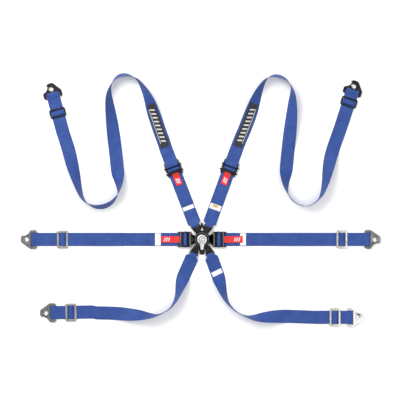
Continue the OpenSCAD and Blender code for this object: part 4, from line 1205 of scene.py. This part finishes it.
# ---------- adjusters, slides and hooks ----------
@dataclass
class Adjuster:
    """A strap adjuster: two side rails, bars between them, its lock bar and its red pull tab.

    Its own X runs the way the free webbing leaves, from the lock bar.
    """

    kind: Strap
    side: Side
    tab_length: float
    back: float
    tab_at: float
    rail_edge: float = 0.7
    BACK_BAR_AT = -16.5
    BACK_BAR_R = 4.0

    def __post_init__(self) -> None:
        """Finds the lock bar and its direction in the frame."""
        axis = joint(f"{self.kind.value}_lock_slide_{self.side.value}")["axis"]
        self.heading = math.degrees(math.atan2(axis[1], axis[0]))
        self.at = node_centre(f"{self.kind.value}_lock_bar_{self.side.value}") * [1, 1, 0]
        self.tag = f"{self.kind.value}_{{}}_{self.side.value}"
        left_lap = (self.kind, self.side) == (Strap.LAP, Side.LEFT)
        self.owner = "buckle" if left_lap else f"{self.kind.value}_{self.side.value}"

    def put(self, shell: Shell) -> Shell:
        """A shell in the adjuster's own axes put in its place."""
        return placed(shell, self.at, self.heading)

    def rails(self) -> Shell:
        """Two side plates with rounded edges, stood on their edges."""
        front = self.tab_at + 9
        outline = rounded([(-self.back, 1, 1.4), (front, 1, 2), (front, 7.5, 2), (front - 7, RAIL_TOP, 3),
                           (-self.back + 10, RAIL_TOP, 4), (-self.back, 7, 2)])
        slot_r = LOCK_R - 0.8 + 0.25
        slot = rounded_box((-slot_r, LOCK_Z - slot_r), (slot_r + 2.5, LOCK_Z + slot_r), slot_r - 0.01)
        return joined(on_edge(plate([outline, slot], -RAIL_OUT, -RAIL_IN, self.rail_edge)),
                      on_edge(plate([outline, slot], RAIL_IN, RAIL_OUT, self.rail_edge)))

    def cross(self, x: float, z: float, radius: float, half: float, **more: float) -> Shell:
        """A round bar across the adjuster."""
        points, faces = rod(radius, half, **more)
        return points + [x, 0, z], faces

    def bridge(self, end: float) -> Shell:
        """The strip over the pull tab's loop, its top lowered by 0.25 (1 + cos) of the distance."""
        start = self.tab_at - 11
        x = np.linspace(end - 0.6, start + 0.6, 45)
        top = np.column_stack([x, RAIL_TOP - 0.25 * (1 + np.cos(2 * math.pi * (end - 0.6 - x) / 2.16))])
        low = rounded([(start, RAIL_TOP - 2, 0.8), (end, RAIL_TOP - 2, 0.8), (end, RAIL_TOP - 0.7, 0.3),
                       (start, RAIL_TOP - 0.7, 0.3)], 4)
        section = np.concatenate([low[:15], top, low[15:]])
        return on_edge(plate([section], -RAIL_OUT + 0.4, RAIL_OUT - 0.4, 0.3))

    def cross_strip(self, start: float, end: float, low: float, high: float, edge: float = 0.5) -> Shell:
        """A flat strip across the adjuster, between two distances and two heights."""
        section = rounded_box((start, low), (end, high), edge, 4)
        return on_edge(plate([section], -RAIL_IN - 1, RAIL_IN + 1, 0.3))

    def build_frame(self, look: str) -> None:
        """The fixed part of the adjuster, which stands for its frame node."""
        lap = self.kind is Strap.LAP
        # The low black strip across the frame behind the lock bar (the last of these parts) is partly painted
        # shade. On a shoulder adjuster it is a dark strip standing in for the shade line between the upper strap
        # and its fold. On a lap adjuster it stands for the black tongue plate carried on to the fold.
        parts = [self.rails(), self.bridge(self.tab_at - (5.4 if lap else 0.5)),
                 self.cross(self.tab_at, TAB_BAR_Z, TAB_BAR_R, RAIL_IN + 1),
                 self.cross_strip(-13.2 if lap else -9.6, -4.2, 0.5, 1.7)]
        if not lap:
            parts.append(self.cross(-LOOP_BAR_AT, LOOP_Z, LOCK_R, RAIL_IN + 1))
            for x in (-10, 12):
                for s in (-1, 1):
                    middle = s * (RAIL_OUT + 2.5)
                    lug = rounded_box((x - 3, middle - 2.6), (x + 3, middle + 2.6), 1.2)
                    parts.append(plate([lug], 3, 8, 0.8))
        name = self.tag.format("adjuster")
        make_piece(f"{name}_frame", self.put(joined(*parts)), look, self.owner, [] if lap else [name])
        if lap:
            bars = joined(self.cross(self.BACK_BAR_AT, TONGUE_Z + TONGUE_T / 2, self.BACK_BAR_R, RAIL_IN + 0.6),
                          self.cross_strip(self.tab_at - 5.4, self.tab_at - 0.5, RAIL_TOP - 2, RAIL_TOP, 0.9))
            make_piece(f"{name}_bars", self.put(bars), "bar_steel", self.owner)

    def build_plate(self, look: str) -> None:
        """The flat tongue plate of a lap adjuster, from its outline in the frame."""
        name = self.tag.format("adjuster")
        loops = node_outlines(name, TONGUE_Z + TONGUE_T)
        outer = [p for p in loops if abs(area_of(p)) > 150]
        holes = [p for p in loops if 3 < abs(area_of(p)) <= 150]
        shell = plate(outer[:1] + holes, TONGUE_Z, TONGUE_Z + TONGUE_T, 0.6)
        make_piece(f"{name}_plate", shell, look, self.owner, [name])

    def build_lock_bar(self, look: str) -> None:
        """The knurled lock bar with its two heads."""
        ends = RAIL_OUT + 0.4
        head, faces = self.cross(0, LOCK_Z, LOCK_R, 0.7, edge=0.4)
        parts = [self.cross(0, LOCK_Z, LOCK_R - 0.8, ends),
                 self.cross(0, LOCK_Z, LOCK_R, RAIL_IN - 0.4, steps=144, flutes=24, depth=0.35),
                 *[(head + [0, s * (ends + 0.7), 0], faces) for s in (-1, 1)]]
        name = self.tag.format("lock_bar")
        make_piece(f"{name}_knurled", self.put(joined(*parts)), look, name, [name])

    def build_tab(self) -> None:
        """The pull tab: red webbing doubled round its bar, a brighter cover and a slanted white mark."""
        name = self.tag.format("pull_tab")
        low = STACK_TOP + 0.4 + 0.45 + TAB_T / 2
        high = low + TAB_T + 0.1
        r = TAB_LOOP_R - TAB_T / 2
        start, end = self.tab_at, self.tab_at + self.tab_length
        path = [[end, low], [start + 9, low], [start + 3, TAB_BAR_Z - r + 0.2],
                *half_turn(start, TAB_BAR_Z, r, -1), [start + 1.35, TAB_BAR_Z + 0.9 * r],
                [start + 14, high + 0.2], [start + 20, high], [end, high]]
        line = Line(*stood(self.at, self.heading, [[x, z] for x, z in path]), blur=0.8)
        shell, uv = strip(line, strip_section(TAB_W, TAB_T, 26), 2.0)
        piece = make_piece(f"{name}_webbing", shell, "webbing_red", name, [name], uv, 60.0, merge=False)
        cover_from = start + self.tab_length * (0.42 if self.kind is Strap.LAP else 0.3)
        top = Line(*stood(self.at, self.heading, [[cover_from, high], [end - 0.5, high]]))
        shell, uv = strip(top, strip_section(TAB_W - 0.6, 0.35, 20), 2.0, rise=TAB_T / 2 + 0.18)
        cover = make_piece(f"{name}_cover", shell, "tab_cover", name, (), uv, 60.0)
        rise = TAB_T / 2 + 0.36
        marks = raised_bars(top, np.array([0.3, 0.5, 0.7]) * top.length, 15, 4.4, 0.3, rise, 0.14)
        make_piece(f"{name}_mark", marks, "thread_white", name, smooth_angle=50.0)
        seam = Seam(1.8, 2.6, 0.2)
        half = TAB_W / 2 - 1.6
        base = Line(*stood(self.at, self.heading, [[start + 18, high], [cover_from, high]]))
        rows = [seam.row(base, (2.0, -half), (2.0, half), TAB_T / 2 + 0.05)]
        rows += [seam.row(top, (d, -half), (d, half), rise) for d in (1.6, top.length - 2.4)]
        make_piece(f"{name}_stitching", joined(*rows), "thread_red", name, smooth_angle=70.0, merge=False)


class Hardware:
    """Makes the slides and snap hooks with rounded edges on the outlines that the frame's nodes have."""

    SLIDE_EDGE = 1.25
    HOOK_EDGE = 1.1

    def slide(self, strap: str, body: str, look: str) -> None:
        """A three-bar slide."""
        name = f"slide_{strap}"
        top = SLIDE_Z + SLIDE_T
        shell = plate(node_outlines(name, top), SLIDE_Z, top, self.SLIDE_EDGE, 5)
        make_piece(f"{name}_bars", shell, look, body, [name])

    def hook(self, strap: str, look: str) -> None:
        """A snap hook: a plate with rounded edges, its webbing bar and its rivet."""
        name = f"snap_hook_{strap}"
        body = f"hook_{strap}"
        pivot = joint(f"hook_swivel_{strap}")
        bar = np.array(pivot["pos_m"]) / MM
        axis = pivot["axis"]
        heading = math.degrees(math.atan2(axis[0], -axis[1]))
        top = HOOK_Z + HOOK_T / 2
        loops = [p for p in node_outlines(name, top) if abs(area_of(p)) > 2]
        parts = [plate(loops, HOOK_Z - HOOK_T / 2, top, self.HOOK_EDGE, 4)]
        points, faces = rod(HOOK_BAR, WEB.width / 2 + 3.5)
        parts.append(placed((points, faces), bar, heading))
        rivet = np.array(joint(f"gate_{strap}_open")["pos_m"]) / MM
        head = revolved([(0, top - 0.5), (1.8, top - 0.5), (1.8, top + 2.9), (2.7, top + 2.9), (3.0, top + 3.1),
                         (2.9, top + 3.4), (2.2, top + 3.65), (0, top + 3.7)], 24)
        parts.append((head[0] + [rivet[0], rivet[1], 0], head[1]))
        make_piece(f"{name}_plate", joined(*parts), look, body, [name])


# ---------- buckle ----------
@dataclass
class Buckle:
    """The rotary buckle: ribbed cover, turned lever with its paddle, post head and pad."""

    radius: float = 28.0
    cover_low: float = 9.3
    cover_top: float = 23.3
    wall: float = 2.5
    lever_r: float = 18.5
    lever_low: float = 23.8
    lever_t: float = 5.0
    paddle_reach: float = 39.0
    paddle_w: float = 12.0
    post_r: float = 3.5

    def cover(self) -> None:
        """The cover: a round cup with a groove round its side and steps round its top."""
        r, low, top = self.radius, self.cover_low, self.cover_top
        inner = r - self.wall
        profile = [(6.4, top - 2), (inner, top - 2), (inner, low), (r - 0.3, low), (r, low + 0.3), (r, low + 5),
                   (r - 0.5, low + 5.5), (r - 0.5, low + 6.5), (r, low + 7), (r, top - 3.4),
                   (r - 0.4, top - 2.4),
                   (r - 1.4, top - 1.4), (r - 2.2, top - 0.7), (r - 3.2, top - 0.5), (r - 5.6, top - 0.5),
                   (r - 6.2, top - 0.9), (r - 8.2, top - 0.9), (r - 8.8, top), (6.4, top)]
        shell = revolved(profile, 192, closed=True)
        make_piece("buckle_cover_turned", shell, "buckle_black", "buckle", ["buckle_cover"],
                   smooth_angle=35.0)

    def knurled_ring(self) -> None:
        """The dark grey ring round the cover; its height falls by a bell of cos(48 angle)."""
        r, top = self.radius, self.cover_top
        profile = [(r - 4.4, top - 1.2), (r - 1.2, top - 1.2), (r - 1.1, top - 0.9), (r - 1.3, top - 0.5),
                   (r - 1.9, top),
                   (r - 3.7, top), (r - 4.2, top - 0.3)]
        points, faces = revolved(profile, 288, closed=True)
        angle = np.arctan2(points[:, 1], points[:, 0])
        points[:, 2] -= 0.5 * ease((np.cos(48 * angle) + 0.1) / 0.7) * (points[:, 2] > top - 0.45)
        make_piece("buckle_cover_ring", (points, faces), "ring_grey", "buckle", smooth_angle=50.0)

    def lever(self) -> None:
        """The lever: a disc with turned rings and a paddle that tapers out of it."""
        low, top, r = self.lever_low, self.lever_low + self.lever_t, self.lever_r
        hole = self.post_r + 0.1
        disc = [(hole, low + 2.2), (hole + 7, low + 2.2), (hole + 7.6, low), (r - 0.6, low),
                (r, low + 0.6), (r, top - 1.6),
                (r - 0.5, top - 0.7), (r - 1.4, top - 0.15), (r - 2.4, top), (r - 5.2, top),
                (r - 5.6, top - 0.5),
                (r - 6.4, top - 0.5), (r - 6.8, top - 0.05), (r - 8.8, top - 0.05), (r - 9.2, top - 0.5),
                (hole + 2.6, top - 0.5),
                (hole + 2.2, top), (hole, top)]
        half = self.paddle_w / 2
        neck = rounded([(-half - 7, -10, 0), (-half - 1.0, -r - 1.5, 6), (-half + 1, -self.paddle_reach, 3.4),
                        (half - 1, -self.paddle_reach, 3.4), (half + 1.0, -r - 1.5, 6), (half + 7, -10, 0)], 8)
        paddle = plate([neck], low + 0.5, low + 3.6, 1.2, 5)
        shell = joined(revolved(disc, 96, closed=True), paddle)
        make_piece("release_lever_turned", shell, "lever_silver", "lever", ["release_lever"],
                   smooth_angle=30.0)

    def post(self) -> None:
        """The pivot post with a hexagonal socket in its head."""
        base, head = 3.0, self.lever_low + self.lever_t + 0.3
        stem = revolved([(0, base), (self.post_r, base), (self.post_r, head), (0, head)], 40)
        cap = plate([ring_outline(self.post_r + 2.5), ring_outline(2.3, 6)], head, head + 1.5, 0.5)
        make_piece("pivot_post_socket", joined(stem, cap), "inner_steel", "buckle", ["pivot_post"])
        bars = [rounded_box((-2.4, y - 0.75), (2.4, y + 0.75), 0.4) for y in (-3.9, 3.9)]
        marks = joined(*[plate([bar], head + 1.4, head + 1.62, 0.1) for bar in bars])
        make_piece("pivot_post_marks", marks, "ring_grey", "buckle")

    def pad(self) -> None:
        """The pad behind the buckle, with a flap under the lever's paddle and a holed spur opposite."""
        shell = plate(node_outlines("back_pad", 3.0)[:2], 0.0, 3.0, 1.0, 4)
        make_piece("back_pad_moulded", shell, "pad_black", "buckle", ["back_pad"])


# ---------- studio ----------
@dataclass(frozen=True)
class Studio:
    """Pale floor, soft light and the camera straight above."""

    view_width: float = 1.52
    centre: tuple = (-0.0076, 0.1497)
    lens: float = 200.0
    floor_size: float = 12.0

    def camera(self) -> None:
        """Camera that looks straight down on the laid-out harness."""
        data = bpy.data.cameras.new("camera")
        data.lens = self.lens
        data.sensor_width = 36.0
        data.clip_end = 100.0
        camera = bpy.data.objects.new("camera", data)
        camera.location = (*self.centre, self.view_width * self.lens / data.sensor_width)
        bpy.context.scene.collection.objects.link(camera)
        bpy.context.scene.camera = camera

    def floor(self) -> None:
        """Plain pale floor."""
        half = self.floor_size / 2
        mesh = bpy.data.meshes.new("floor")
        corners = [(-half, -half, 0), (half, -half, 0), (half, half, 0), (-half, half, 0)]
        mesh.from_pydata(corners, [], [(0, 1, 2, 3)])
        s = Shader("floor white", Roughness=0.9, Base_Color=(0.93, 0.93, 0.93, 1), Specular_IOR_Level=0.1)
        mesh.materials.append(s.material)
        floor = bpy.data.objects.new("floor", mesh)
        floor.location.z = -0.0002
        bpy.context.scene.collection.objects.link(floor)

    def light(self) -> None:
        """Even white surroundings with one large soft lamp above, towards the upper left."""
        world = bpy.data.worlds.new("studio")
        world.use_nodes = True
        world.node_tree.nodes["Background"].inputs[0].default_value = (1, 1, 1, 1)
        world.node_tree.nodes["Background"].inputs[1].default_value = 0.72
        bpy.context.scene.world = world
        lamps = (("key", (-1.6, 1.9, 2.6), 2.2, 95.0), ("fill", (1.8, -0.6, 3.2), 2.5, 40.0))
        for name, place, size, power in lamps:
            data = bpy.data.lights.new(name, "AREA")
            data.size, data.energy = size, power
            lamp = bpy.data.objects.new(name, data)
            lamp.location = place
            x, y, z = -np.array(place)
            lamp.rotation_euler = (math.atan2(math.hypot(x, y), -z), 0, math.atan2(y, x) - math.pi / 2)
            bpy.context.scene.collection.objects.link(lamp)
        bpy.context.scene.view_settings.view_transform = "Standard"


def dress_nodes() -> None:
    """Gives every frame node that stays visible the finish of its record slot."""
    slots = {p["node"]: p["material_slot"] for p in frame["record"]["subparts"]}
    for name, node in frame["nodes"].items():
        node.data.materials.clear()
        node.data.materials.append(finish(slots[name]))


def main() -> None:
    """Builds the whole harness and its studio."""
    logging.basicConfig(level=logging.INFO, format="%(message)s")
    studio = Studio()
    studio.camera()
    studio.floor()
    studio.light()
    dress_nodes()
    straps, hardware = Straps(), Hardware()
    for side in Side:
        straps.shoulder(side)
        straps.lap(side)
        straps.crotch(side)
        for kind, length, back, tab_at in ((Strap.SHOULDER, 48.0, 30.0, 17.0), (Strap.LAP, 70.0, 22.0, 22.0)):
            adjuster = Adjuster(kind, side, length, back, tab_at)
            adjuster.build_frame("adjuster_black")
            if kind is Strap.LAP:
                adjuster.build_plate("tongue_black")
            adjuster.build_lock_bar("adjuster_black" if kind is Strap.SHOULDER else "lock_bar_steel")
            adjuster.build_tab()
        for kind in Strap:
            strap = f"{kind.value}_{side.value}"
            black = kind is Strap.SHOULDER
            hardware.slide(strap, straps.body(kind, side), "slide_black" if black else "slide_steel")
            bright = strap == "crotch_right"
            hardware.hook(strap, "hook_black" if black else "hook_bright" if bright else "hook_steel")
    buckle = Buckle()
    buckle.cover()
    buckle.knurled_ring()
    buckle.lever()
    buckle.post()
    buckle.pad()


if __name__ == "__main__":
    main()
